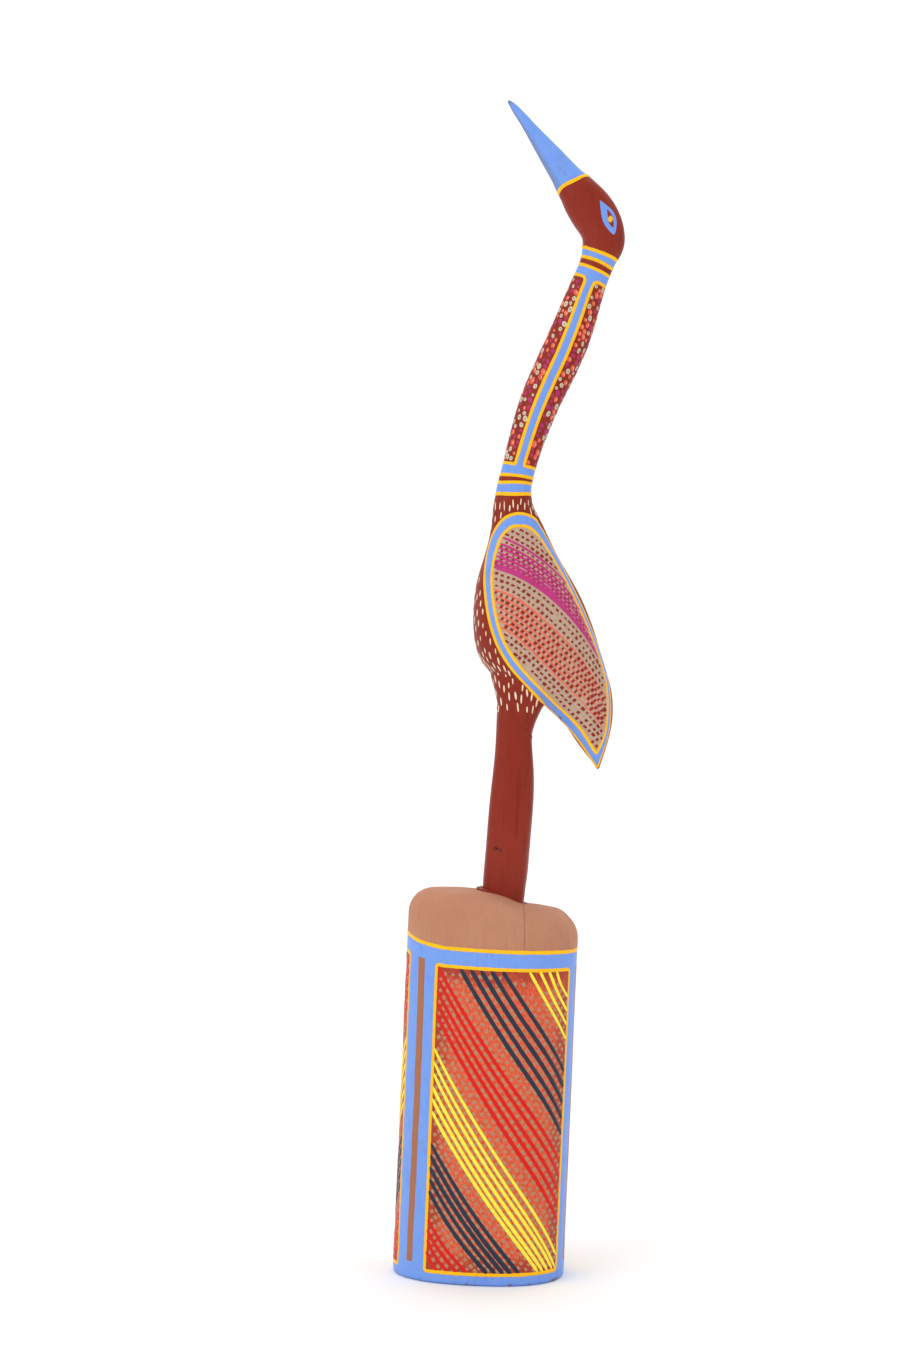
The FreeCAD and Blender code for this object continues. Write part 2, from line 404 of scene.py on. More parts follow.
def settled(obj):
    """Turns an object with its modifiers into a plain mesh."""
    mesh = bpy.data.meshes.new_from_object(obj.evaluated_get(bpy.context.evaluated_depsgraph_get()))
    obj.modifiers.clear()
    obj.data = mesh
    return obj


def points_of(mesh):
    """A mesh's points in millimetres."""
    flat = np.empty(len(mesh.vertices) * 3, np.float32)
    mesh.vertices.foreach_get("co", flat)
    return flat.reshape(-1, 3).astype(float) / MM


def normals_of(mesh):
    flat = np.empty(len(mesh.vertices) * 3, np.float32)
    mesh.vertex_normals.foreach_get("vector", flat)
    return flat.reshape(-1, 3).astype(float)


def set_points(mesh, points):
    mesh.vertices.foreach_set("co", (points * MM).astype(np.float32).ravel())
    mesh.update()


def keep_number(mesh, name, values):
    """Keeps a number at every point, for the material to read."""
    mesh.attributes.new(name, "FLOAT", "POINT").data.foreach_set("value", np.asarray(values, np.float32))


def evened(mesh, points, rounds):
    """Evens out the steps of a remesh: pulled in, then pushed out as much."""
    pairs = np.empty(len(mesh.edges) * 2, np.int32)
    mesh.edges.foreach_get("vertices", pairs)
    one, two = pairs.reshape(-1, 2).T
    count = np.bincount(pairs, minlength=len(points))[:, None]
    for turn in range(rounds * 2):
        amount = PUSH_OUT if turn % 2 else PULL_IN
        around = [np.bincount(one, points[two, k], len(points))
                  + np.bincount(two, points[one, k], len(points)) for k in range(3)]
        points = points + amount * (np.stack(around, 1) / count - points)
    return points


def rough_noise(points, size, seed=0.0):
    """Noise at each point: size is the length of its waves along X, Y and Z, in millimetres."""
    waves = points / np.array(size) + seed
    return np.array([noise.noise(Vector(spot)) for spot in waves])


def cut_way(node, joint):
    """The outward direction of the flat end that a piece has at a joint."""
    best, way = 0.0, Vector((0, 0, 1))
    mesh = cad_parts[node].data
    for face in mesh.polygons:
        gap = (face.center / MM - joint)
        if gap.length < 20 and abs(gap.dot(face.normal)) < 0.05 and face.area > best:
            best, way = face.area, face.normal.copy()
    return way


def push_ends(points, node, joints, reach=1.6, amount=0.6):
    """Carries each jointed end a little into its neighbour, so that no groove is left between."""
    for joint in joints:
        way = np.array(cut_way(node, joint))
        inside = -(points - np.array(joint)) @ way
        near = np.linalg.norm(points - np.array(joint), axis=1) < 26
        share = np.clip(1 - np.abs(inside) / reach, 0, 1) * near
        points = points + way * (share * amount)[:, None]
    return points


def carve(name, node, grain, rounds=3, joints=(), marks=0.12, mark_size=(7, 7, 22)):
    """A hand-cut copy of a CAD piece: even small faces, eased edges and faint knife marks."""
    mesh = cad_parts[node].data.copy()
    mesh.materials.clear()
    skin = bmesh.new()
    skin.from_mesh(mesh)
    bmesh.ops.remove_doubles(skin, verts=skin.verts, dist=WELD)
    skin.to_mesh(mesh)
    skin.free()
    made = link(name, mesh)
    remesh = made.modifiers.new("even faces", "REMESH")
    remesh.mode = "VOXEL"
    remesh.voxel_size = grain * MM
    settled(made)
    points = evened(made.data, points_of(made.data), rounds)
    points = push_ends(points, node, joints)
    set_points(made.data, points)
    points += normals_of(made.data) * (rough_noise(points, mark_size) * marks)[:, None]
    points[:, 2] = np.maximum(points[:, 2], 0)
    set_points(made.data, points)
    made.data.shade_smooth()
    return made


def finish_piece(obj, material, *nodes, slot):
    """Gives a piece its material and its place in the frame."""
    if material:
        obj.data.materials.clear()
        obj.data.materials.append(material)
    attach(obj, "root")
    if nodes:
        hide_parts(*nodes)


# ---------------------------------------------------------------- flat layouts

def smooth_path(points, closed=False, step=1.0):
    """A smooth line through a few points, with a point every step or so."""
    dots = np.array(points, float)
    if closed:
        dots = np.vstack([dots[-1], dots, dots[0], dots[1]])
    else:
        dots = np.vstack([2 * dots[0] - dots[1], dots, 2 * dots[-1] - dots[-2]])
    out = []
    for a, b, c, d in zip(dots, dots[1:], dots[2:], dots[3:]):
        parts = max(2, int(np.linalg.norm(c - b) / step))
        for t in np.arange(parts) / parts:
            out.append(0.5 * (2 * b + (c - a) * t + (2 * a - 5 * b + 4 * c - d) * t ** 2
                              + (3 * b - a - 3 * c + d) * t ** 3))
    if not closed:
        out.append(dots[-2])
    return np.array(out)


def pointed_loop(path):
    """A smooth loop that keeps its point at its start."""
    return smooth_path(np.vstack([path, path[:1]]), step=0.8)


def inside_by(spots, outline):
    """How far each flat point is inside a closed outline; outside is negative."""
    start, end = outline, np.roll(outline, -1, axis=0)
    nearest = np.full(len(spots), 1e9)
    crossings = np.zeros(len(spots), int)
    for a, b in zip(start, end):
        run = b - a
        t = np.clip(((spots - a) @ run) / max(run @ run, 1e-12), 0, 1)
        nearest = np.minimum(nearest, np.linalg.norm(spots - a - t[:, None] * run, axis=1))
        if a[1] != b[1]:
            straddles = (a[1] > spots[:, 1]) != (b[1] > spots[:, 1])
            crossing = a[0] + (spots[:, 1] - a[1]) * run[0] / run[1]
            crossings += straddles & (spots[:, 0] < crossing)
    return np.where(crossings % 2 == 1, nearest, -nearest)


def spread(spots, rng, gap, flow=None, stretch=1.0):
    """Picks points at random that keep their distance; along the flow it is stretched."""
    picked = []
    kept = np.empty((0, 3))
    for index in rng.permutation(len(spots)):
        away = kept - spots[index]
        if flow is not None and len(kept):
            along = away @ flow
            away = away - np.outer(along * (1 - 1 / stretch), flow)
        if not len(kept) or np.min(np.einsum("ij,ij->i", away, away)) > gap * gap:
            picked.append(index)
            kept = np.vstack([kept, spots[index]])
    return picked


FAR_OFF = 300                         # clear of the bird and the log on any side


class Surface:
    """The skin of one or more pieces, to lay paint on."""

    def __init__(self, *objects):
        corners, faces = [], []
        for obj in objects:
            base = len(corners)
            corners.extend(Vector(spot) for spot in points_of(obj.data))
            faces.extend([base + k for k in face.vertices] for face in obj.data.polygons)
        self.skin = BVHTree.FromPolygons(corners, faces)

    def meet(self, start, way):
        """Where a line first meets the skin, and the way that the skin faces there."""
        spot, facing, _, _ = self.skin.ray_cast(Vector(start), Vector(way))
        return (spot, facing) if spot is not None else None

    def side(self, x, z, side):
        """The skin seen from one side of the bird: -1 is the front of the scene."""
        return self.meet((x, side * FAR_OFF, z), (0, -side, 0))

    def side_on(self, z, side):
        """The skin's outermost place at a height, from the left (-1) or the right."""
        return self.meet((side * FAR_OFF, 0, z), (-side, 0, 0))[0]


# ---------------------------------------------------------------- strokes of paint

def field_input(tree, name, kind="FLOAT"):
    return tree.node("GeometryNodeInputNamedAttribute", {"data_type": kind}, {"Name": name}, "Attribute")


def new_maker(name, inputs):
    """A Geometry Nodes tree with named inputs."""
    group = bpy.data.node_groups.new(name, "GeometryNodeTree")
    group.interface.new_socket("Geometry", in_out="INPUT", socket_type="NodeSocketGeometry")
    for label, kind in inputs.items():
        group.interface.new_socket(label, in_out="INPUT", socket_type=kind)
    group.interface.new_socket("Geometry", in_out="OUTPUT", socket_type="NodeSocketGeometry")
    tree = Tree(group)
    entry = group.nodes.new("NodeGroupInput")
    given = {socket.name: Wire(tree, socket) for socket in entry.outputs if socket.name}
    return group, tree, given


def end_maker(tree, shape, material):
    """Every tree ends in real faces and one material."""
    real = tree.node("GeometryNodeRealizeInstances", None, {"Geometry": shape})
    smooth = tree.node("GeometryNodeSetShadeSmooth", None, {"Geometry": real, "Shade Smooth": True})
    coated = tree.node("GeometryNodeSetMaterial", None, {"Geometry": smooth, "Material": material})
    tree.links.new(coated.socket, tree.nodes.new("NodeGroupOutput").inputs["Geometry"])


def line_maker():
    """Draws brush lines: a low rounded ribbon along every path, as wide as its points say."""
    group, tree, given = new_maker("brush line", {
        "Plumpness": "NodeSocketFloat", "Unevenness": "NodeSocketFloat", "Seed": "NodeSocketFloat",
        "Paint": "NodeSocketMaterial"})
    path = tree.node("GeometryNodeMeshToCurve", None, {"Mesh": given["Geometry"]})
    path = tree.node("GeometryNodeSetCurveNormal", {"mode": "FREE"},
                     {"Curve": path, "Normal": field_input(tree, "facing", "FLOAT_VECTOR")})
    spot = tree.node("GeometryNodeInputPosition")
    wobble = tree.node("ShaderNodeTexNoise", {"noise_dimensions": "4D"},
                       {"Vector": spot, "W": given["Seed"], "Scale": 260.0, "Detail": 2.0}, "Fac")
    half = field_input(tree, "half") * ((wobble - 0.5) * given["Unevenness"] + 1)
    brush = tree.node("GeometryNodeCurvePrimitiveCircle", None, {"Resolution": 10, "Radius": 1.0})
    size = tree.node("ShaderNodeCombineXYZ", None, {"X": given["Plumpness"], "Y": 1.0, "Z": 1.0})
    brush = tree.node("GeometryNodeTransform", None, {"Geometry": brush, "Scale": size})
    ribbon = tree.node("GeometryNodeCurveToMesh", None, {
        "Curve": path, "Profile Curve": brush, "Scale": half, "Fill Caps": True})
    end_maker(tree, ribbon, given["Paint"])
    return group


def dab_maker():
    """Sets a low, bevelled dab of paint on every point, lying along the surface."""
    group, tree, given = new_maker("paint dab", {
        "Corners": "NodeSocketInt", "Unevenness": "NodeSocketFloat", "Seed": "NodeSocketInt",
        "Paint": "NodeSocketMaterial"})
    dab = tree.node("GeometryNodeMeshCone", {"fill_type": "NGON"}, {
        "Vertices": given["Corners"], "Side Segments": 1, "Radius Top": 0.78,
        "Radius Bottom": 1.0, "Depth": 1.0}, "Mesh")
    dab = tree.node("GeometryNodeTransform", None, {"Geometry": dab, "Rotation": (0, 0, pi / 4)})
    turn = tree.node("FunctionNodeAxesToRotation", {"primary_axis": "Z", "secondary_axis": "X"}, {
        "Primary Axis": field_input(tree, "facing", "FLOAT_VECTOR"),
        "Secondary Axis": field_input(tree, "along", "FLOAT_VECTOR")}, "Rotation")
    chance = tree.node("FunctionNodeRandomValue", {"data_type": "FLOAT_VECTOR"}, {
        "Min": (-0.5, -0.5, -0.2), "Max": (0.5, 0.5, 0.2), "Seed": given["Seed"]}, "Value")
    swing = tree.node("ShaderNodeVectorMath", {"operation": "SCALE"},
                      {0: chance, "Scale": given["Unevenness"]})
    factor = tree.node("ShaderNodeVectorMath", {"operation": "ADD"}, {0: swing, 1: (1, 1, 1)})
    size = tree.node("ShaderNodeVectorMath", {"operation": "MULTIPLY"},
                     {0: factor, 1: field_input(tree, "size", "FLOAT_VECTOR")})
    dabs = tree.node("GeometryNodeInstanceOnPoints", None, {
        "Points": given["Geometry"], "Instance": dab, "Rotation": turn, "Scale": size})
    end_maker(tree, dabs, given["Paint"])
    return group


LINE_MAKER = line_maker()
DAB_MAKER = dab_maker()


def make(name, mesh, maker, slot, **inputs):
    """Runs a maker over a mesh of points or paths, and keeps the result as a plain mesh."""
    obj = link(name, mesh)
    work = obj.modifiers.new("maker", "NODES")
    work.node_group = maker
    places = {item.name: item.identifier for item in maker.interface.items_tree
              if item.item_type == "SOCKET" and item.in_out == "INPUT"}
    for label, value in inputs.items():
        work[places[label]] = value
    settled(obj)
    finish_piece(obj, None, slot=slot)
    return obj


def keep_vectors(mesh, name, values):
    flat = np.array(values, np.float32).ravel()
    mesh.attributes.new(name, "FLOAT_VECTOR", "POINT").data.foreach_set("vector", flat)


class Lines:
    """Brush lines of one colour, gathered up to be made as one piece."""

    def __init__(self):
        self.spots, self.facings, self.halves, self.edges = [], [], [], []

    def add(self, met, half, closed=False, taper=0.0):
        """One line through places on a surface; half its width is a number, or one for each place.
        With taper, its ends thin out over that share."""
        kept = [(place, wide) for place, wide in zip(met, np.broadcast_to(half, len(met))) if place]
        if len(kept) < 4:
            return
        base, count = len(self.spots), len(kept)
        for k, ((spot, facing), wide) in enumerate(kept):
            end = min(k, count - 1 - k) / max(count * taper, 1e-6)
            self.spots.append(spot)
            self.facings.append(facing)
            self.halves.append(wide * (1 if closed else min(1.0, 0.35 + 0.65 * end)))
        self.edges += [(base + k, base + k + 1) for k in range(count - 1)]
        if closed:
            self.edges.append((base + count - 1, base))

    def make(self, name, material, slot, plump=0.2, uneven=0.5, seed=1.0):
        mesh = bpy.data.meshes.new(name)
        mesh.from_pydata([spot * MM for spot in self.spots], self.edges, [])
        keep_vectors(mesh, "facing", self.facings)
        keep_number(mesh, "half", np.array(self.halves) * MM)
        return make(name, mesh, LINE_MAKER, slot, Plumpness=plump, Unevenness=uneven, Seed=seed,
                    Paint=material)


class Dabs:
    """Dabs of paint of one colour, gathered up to be made as one piece."""

    def __init__(self):
        self.spots, self.facings, self.alongs, self.sizes = [], [], [], []

    def add(self, place, along, length, width, height=0.16):
        """One dab, with its length and width across, sunk a hair into the surface."""
        if not place:
            return
        spot, facing = place
        self.spots.append(spot - facing * 0.04)
        self.facings.append(facing)
        self.alongs.append(along)
        self.sizes.append((length / 2, width / 2, height))

    def make(self, name, material, slot, corners=8, uneven=0.3, seed=1):
        mesh = bpy.data.meshes.new(name)
        mesh.from_pydata([spot * MM for spot in self.spots], [], [])
        keep_vectors(mesh, "facing", self.facings)
        keep_vectors(mesh, "along", self.alongs)
        keep_vectors(mesh, "size", np.array(self.sizes) * MM)
        return make(name, mesh, DAB_MAKER, slot, Corners=corners, Unevenness=uneven, Seed=seed,
                    Paint=material)


# ---------------------------------------------------------------- camera, light and floor

CAMERA_AT = (-0.0171, -1.750, 0.3644)  # metres, as in all this section
CAMERA_LENS = 76.25
LIT_AT = (0.02, 0, 0.36)              # the bird's middle
WALL_AT = 1.8
WALL_BEND = 0.6


def add_camera():
    """The view: level with the bird's middle, a long way off."""
    made = bpy.data.objects.new("camera", bpy.data.cameras.new("camera"))
    bpy.context.scene.collection.objects.link(made)
    made.location = CAMERA_AT
    made.rotation_euler = (radians(90), 0, 0)
    made.data.lens = CAMERA_LENS
    made.data.sensor_width = 36
    bpy.context.scene.camera = made


def add_light(name, place, size, watts, colour=(1, 1, 1)):
    """A soft square light, turned to the bird."""
    made = bpy.data.objects.new(name, bpy.data.lights.new(name, "AREA"))
    bpy.context.scene.collection.objects.link(made)
    made.location = place
    made.rotation_euler = (Vector(LIT_AT) - Vector(place)).to_track_quat("-Z", "Y").to_euler()
    made.data.size = size
    made.data.energy = watts
    made.data.color = colour


def add_studio():
    """A floor that sweeps up into a wall, and soft light from all round."""
    bend_at = WALL_AT - WALL_BEND
    run = [(-3.0, 0.0), (bend_at, 0.0)]
    run += [(bend_at + WALL_BEND * sin(t), WALL_BEND - WALL_BEND * cos(t))
            for t in np.linspace(0.1, pi / 2, 12)]
    run += [(WALL_AT, 4.0)]
    corners = [(x, y, z) for y, z in run for x in (-4.0, 4.0)]
    faces = [(2 * k, 2 * k + 1, 2 * k + 3, 2 * k + 2) for k in range(len(run) - 1)]
    mesh = bpy.data.meshes.new("floor")
    mesh.from_pydata(corners, [], faces)
    mesh.shade_smooth()
    floor = link("floor", mesh)
    mesh.materials.append(floor_finish())
    world = bpy.data.worlds.new("studio")
    bpy.context.scene.world = world
    world.use_nodes = True
    world.node_tree.nodes["Background"].inputs["Color"].default_value = (1, 1, 1, 1)
    world.node_tree.nodes["Background"].inputs["Strength"].default_value = 0.85
    add_light("window", (-1.5, -1.5, 1.5), 1.6, 15, (1.0, 0.99, 0.97))
    add_light("fill", (1.7, -1.3, 0.9), 1.4, 3)
    add_light("wall", (0.0, 0.6, 2.8), 2.4, 24)
    bpy.context.scene.view_settings.view_transform = "Standard"


# ---------------------------------------------------------------- the log

STRIPES = (-49.4, 66.1, 168.6)       # middles of the brown stripes, round from the front
STRIPE_BOW = 1.5                      # how far they bend, halfway up
BAND = 27.3                          # blue band round each stripe, from panel to panel
# The yellow ring under the bare top: distances round from the front, and its heights there.
RING_AT = (-138, -100, -69, -52, -31, 4, 57, 105, 150)
RING_HEIGHT = (208.5, 209, 207, 203.7, 200.8, 199.4, 198, 199.5, 204)
RING_TO_PANEL = 10.6
PANEL_FOOT = 7.0
RING_HALF = 1.2
HOLLOW_AT = 28.0                      # the worn hollow, across
HOLLOW_HALF = 9.5
HOLLOW_DEPTH = 2.4
FULLER_AT = 50.0                      # the fuller shoulder, across
FULLER_HALF = 6.0
FULLER_BY = 1.5
FRAME_HALF = 1.1
LINE_HALF = {"lemon": 1.05, "navy": 1.35, "scarlet": 1.2}
SQUARE = 2.5
SQUARE_PITCH = 4.4
STRIPE_HALF = (2.7, 0.6)              # half a stripe at its foot, and what it gains to the top
STRIPE_FOOT = 11.0
RING_TO_STRIPE = 9.3
CRACK_AT = 27.3                       # across: the crack in the bare top
ROW_INSET = 0.8
ROW_STEP = 1.2
ROW_BOW = 1.2                         # how far a hatched row sags in its middle
ROW_SIDE = (0.84, 0.54)               # the way square to the rows
PANEL_RISE = 180                      # a panel's height, near enough
PAINT_STEP = 1.5                      # between the points of a ring or frame

# Hatching, in groups from the top right corner: each line starts on the top and left edges and
# ends on the right and foot edges, both counted in edges from that corner.
HATCH = (
    ("lemon", 4, (0.13, 0.34), (0.09, 0.23)),
    ("navy", 5, (0.53, 0.82), (0.34, 0.55)),
    ("scarlet", 5, (1.0, 1.15), (0.645, 0.84)),
    ("lemon", 6, (1.27, 1.48), (0.955, 1.18)),
    ("navy", 5, (1.585, 1.74), (1.325, 1.543)),
    ("scarlet", 4, (1.831, 1.936), (1.687, 1.904)),
)
BARE_ROWS = (2, 2, 2, 2, 2)          # rows left unpainted between the groups


OUTSIDE = -9.0                        # a mark's distance where there is none of it
STRAIGHT_PART = (0.25, 0.7)           # the log's lean is taken between these shares of its height


def round_log(value, length):
    """A distance round the log, brought within half a turn of the front."""
    return (value + length / 2) % length - length / 2


class Log:
    """The log's sides as a flat sheet: millimetres round from the front, and height."""

    def __init__(self, obj):
        self.surface = Surface(obj)
        low, high = (share * LOG_HIGH.z for share in STRAIGHT_PART)
        self.start, self.lean = self.middle(low), (self.middle(high) - self.middle(low)) / (high - low)
        self.low = low
        turns = np.radians(np.arange(361))
        rim = [self.cast(turn, low)[0].to_2d() for turn in turns]
        steps = [(b - a).length for a, b in zip(rim, rim[1:])]
        self.turns = turns
        self.arcs = np.concatenate([[0], np.cumsum(steps)])
        self.girth = self.arcs[-1]

    def middle(self, z):
        hits = [self.surface.meet((-x * FAR_OFF, -y * FAR_OFF, z), (x, y, 0))[0]
                for x, y in ((1, 0), (-1, 0), (0, 1), (0, -1))]
        return Vector(((hits[0].x + hits[1].x) / 2, (hits[2].y + hits[3].y) / 2))

    def centre(self, z):
        return self.start + self.lean * (z - self.low)

    def cast(self, turn, z):
        way = Vector((sin(turn), -cos(turn), 0))
        return self.surface.meet(self.centre(z).to_3d() + Vector((0, 0, z)) + way * 150, -way)

    def place(self, around, z):
        """The skin at so many millimetres round, at a height."""
        return self.cast(np.interp(around % self.girth, self.arcs, self.turns), z)

    def sheet(self, points):
        """Distance round and height of points on the skin."""
        axis = np.array(self.start) + np.outer(points[:, 2] - self.low, np.array(self.lean))
        turn = np.arctan2(points[:, 0] - axis[:, 0], -(points[:, 1] - axis[:, 1])) % (2 * pi)
        return round_log(np.interp(turn, self.turns, self.arcs), self.girth), points[:, 2]

    def ring(self, around):
        """Height of the yellow ring under the bare top."""
        return np.interp(around, RING_AT, RING_HEIGHT, period=self.girth)

    def panels(self):
        """Left and right edge of each panel, round from the front."""
        return [(left + BAND / 2, right - BAND / 2)
                for left, right in zip(STRIPES, STRIPES[1:] + (STRIPES[0] + self.girth,))]


def mark_log(log, mesh):
    """Keeps on the log's mesh how far each point is inside the painted areas."""
    points = points_of(mesh)
    around, height = log.sheet(points)
    ring = log.ring(around)
    wobble = rough_noise(points, (6, 6, 9), 40) * 0.35
    stripe = np.full(len(points), OUTSIDE)
    bow = STRIPE_BOW * np.sin(pi * np.clip(height / LOG_HIGH.z, 0, 1))
    for middle_line in STRIPES:
        wide = (STRIPE_HALF[0] + STRIPE_HALF[1] * height / LOG_HIGH.z
                - abs(round_log(around - middle_line - bow, log.girth)))
        tall = np.minimum(height - STRIPE_FOOT, ring - RING_TO_STRIPE - height)
        stripe = np.maximum(stripe, np.minimum(wide, tall))
    panel = np.full(len(points), OUTSIDE)
    for left, right in log.panels():
        half = (right - left) / 2
        wide = half - abs(round_log(around - left - half, log.girth))
        tall = np.minimum(height - PANEL_FOOT, ring - RING_TO_PANEL - height)
        panel = np.maximum(panel, np.minimum(wide, tall))
    keep_number(mesh, "around", around)
    keep_number(mesh, "height", height)
    keep_number(mesh, "stripe", stripe + wobble)
    keep_number(mesh, "panel", panel)
    keep_number(mesh, "cap", height - ring)
    keep_number(mesh, "crack", points[:, 0] - CRACK_AT)
    keep_number(mesh, "cracked", (points[:, 1] < 0) * np.clip((height - ring) / 3, 0, 1))


def hollow(across):
    """How deep the crown is worn beside the leg, on the tail side."""
    return HOLLOW_DEPTH * np.exp(-((across - HOLLOW_AT) / HOLLOW_HALF) ** 2)


def shape_crown(mesh):
    """A shallow hollow worn into the crown, and a fuller shoulder beyond it."""
    points = points_of(mesh)
    fuller = FULLER_BY * np.exp(-((points[:, 0] - FULLER_AT) / FULLER_HALF) ** 2)
    near_top = np.clip((points[:, 2] - LOG_HIGH.z + 40) / 15, 0, 1)
    points[:, 2] += (fuller - hollow(points[:, 0])) * near_top
    set_points(mesh, points)


def edge_point(count, first_side):
    """A spot on a panel's rim as shares across and up, so many edges from the top right corner."""
    if first_side:
        return (1 - count, 1.0) if count <= 1 else (0.0, 2 - count)
    return (1.0, 1 - count) if count <= 1 else (2 - count, 0.0)


def hatch_rows():
    """Every slanting row of a panel, as (paint or None, start, end)."""
    rows = []
    for number, (colour, lines, starts, ends) in enumerate(HATCH):
        for k in range(lines):
            share = k / (lines - 1)
            rows.append((colour, starts[0] + (starts[1] - starts[0]) * share,
                         ends[0] + (ends[1] - ends[0]) * share))
        if number < len(BARE_ROWS):
            gaps = BARE_ROWS[number] + 1
            _, _, next_starts, next_ends = HATCH[number + 1]
            for k in range(1, gaps):
                rows.append((None, starts[1] + (next_starts[0] - starts[1]) * k / gaps,
                             ends[1] + (next_ends[0] - ends[1]) * k / gaps))
    return rows


def panel_row(log, left, right, start, end, mirror, rng):
    """Places along one slanting row of a panel, every ROW_STEP or so."""
    across, up = edge_point(start, True)
    to_across, to_up = edge_point(end, False)
    foot_side = PANEL_FOOT + ROW_INSET
    length = hypot((to_across - across) * (right - left), (to_up - up) * PANEL_RISE)
    steps = max(6, int(length / ROW_STEP))
    drift = rng.uniform(-0.25, 0.25, 3)
    places = []
    for k in range(steps + 1):
        t = k / steps
        share = across + (to_across - across) * t
        if mirror:
            share = 1 - share
        around = left + ROW_INSET + share * (right - left - 2 * ROW_INSET)
        wave = drift[0] * sin(5 * t + 9 * drift[1]) + drift[2] - ROW_BOW * sin(pi * t)
        top = log.ring(around) - RING_TO_PANEL - ROW_INSET
        z = foot_side + (up + (to_up - up) * t) * (top - foot_side)
        places.append(log.place(around + wave * ROW_SIDE[0],
                                min(max(z + wave * ROW_SIDE[1], foot_side), top)))
    return places


def row_squares(dabs, places, other):
    """Sets squares midway between two neighbouring rows."""
    count = min(len(places), len(other))
    reach = 0.0
    last = None
    for k in range(count):
        one = places[int(k * (len(places) - 1) / max(count - 1, 1))]
        two = other[int(k * (len(other) - 1) / max(count - 1, 1))]
        if not one or not two:
            continue
        spot, facing = (one[0] + two[0]) / 2, (one[1] + two[1]) / 2
        if last is not None:
            reach += (spot - last).length
            if reach > SQUARE_PITCH:
                reach -= SQUARE_PITCH
                gap = (one[0] - two[0]).length
                wide = min(SQUARE, max(gap * 0.6, 0.9)) * sqrt(2)
                dabs.add((spot, facing.normalized()), spot - last, SQUARE * sqrt(2), wide, 0.1)
        last = spot


def paint_log(log, rng):
    """The yellow ring and frames, the hatching and the rows of squares."""
    yellow, squares = Lines(), Dabs()
    inks = {"lemon": Lines(), "navy": Lines(), "scarlet": Lines()}
    turns = np.arange(0, log.girth, PAINT_STEP)
    yellow.add([log.place(s, log.ring(s)) for s in turns], RING_HALF, closed=True)
    for number, (left, right) in enumerate(log.panels()):
        mirror = number != 0
        rim = frame_path(log, left, right)
        yellow.add([log.place(s, z) for s, z in rim], FRAME_HALF, closed=True)
        rows = [(colour, panel_row(log, left, right, start, end, mirror, rng))
                for colour, start, end in hatch_rows()]
        for (colour, places), (_, below) in zip(rows, rows[1:] + rows[-1:]):
            if colour:
                inks[colour].add(places, LINE_HALF[colour] * rng.uniform(0.9, 1.1), taper=0.02)
            if below is not places:
                row_squares(squares, places, below)
    yellow.make("log_yellow_lines", paint("outline_yellow", YELLOW, shade(236, 158, 6)), "yellow_paint",
                uneven=0.6)
    inks["lemon"].make("log_lemon_lines", paint("lemon_yellow", LEMON, shade(240, 206, 40)),
                       "yellow_paint", seed=2.0)
    inks["navy"].make("log_navy_lines", paint("navy_blue", NAVY, shade(24, 30, 44)), "navy_paint",
                      seed=3.0)
    inks["scarlet"].make("log_scarlet_lines", paint("scarlet_red", SCARLET, shade(184, 20, 16)),
                         "scarlet_paint", seed=4.0)
    squares.make("log_squares", paint("pale_brown", PALE_BROWN, shade(150, 100, 74)), "cream_paint",
                 corners=4, uneven=0.4)


def frame_path(log, left, right):
    """Round one panel's frame, as (distance round, height)."""
    def top(s):
        return log.ring(s) - RING_TO_PANEL
    across = np.arange(left + 1, right - 0.5, PAINT_STEP)
    upward = [(left, z) for z in np.arange(PANEL_FOOT + 1, top(left) - 1, PAINT_STEP)]
    over = [(s, top(s)) for s in across]
    down = [(right, z) for z in np.arange(top(right) - 1, PANEL_FOOT + 1, -PAINT_STEP)]
    under = [(s, PANEL_FOOT) for s in across[::-1]]
    return upward + over + down + under


# ---------------------------------------------------------------- the leg

KNOT = LEG_JOINT + Vector((-10.6, -10.6, -77.4))
KNOT_RADIUS = 1.6
KNOT_HEART = (-0.7, 0.0, 0.6)
CHECK = LEG_JOINT + Vector((6.0, -10.0, -26.9))
FOOT_LET_IN = 3.2                     # how far the foot is carried down into the worn hollow
FOOT_TOP = 236.0
LUMP_TURN = 0.75                      # how far round the lump of glue reaches, in radians
BEAD_INNER = 12.4                     # from the bead's middle to its inside, at the lump


def mark_leg(mesh):
    """An old knot, dished and ringed, a short check across the grain, and a foot that is let in."""
    points = points_of(mesh)
    points[:, 2] -= FOOT_LET_IN * np.clip((FOOT_TOP - points[:, 2]) / 6, 0, 1)
    away = points - np.array(KNOT)
    away[:, 2] += away[:, 0] * 0.35
    knot = np.linalg.norm(away / (1.5, 1.5, 1.0), axis=1) + rough_noise(points, (1.6, 1.6, 1.3), 3) * 0.8
    heart = np.linalg.norm((away - KNOT_HEART) / (1.4, 1.4, 1.0), axis=1)
    points -= normals_of(mesh) * (0.5 * np.exp(-(knot / 1.2) ** 2))[:, None]
    set_points(mesh, points)
    off = points - np.array(CHECK)
    along = np.maximum(np.abs(off[:, 0]) - 1.5, 0)
    keep_number(mesh, "knot", knot)
    keep_number(mesh, "heart", heart)
    keep_number(mesh, "check", np.sqrt(along ** 2 + off[:, 2] ** 2 + np.maximum(off[:, 1], 0) ** 2))


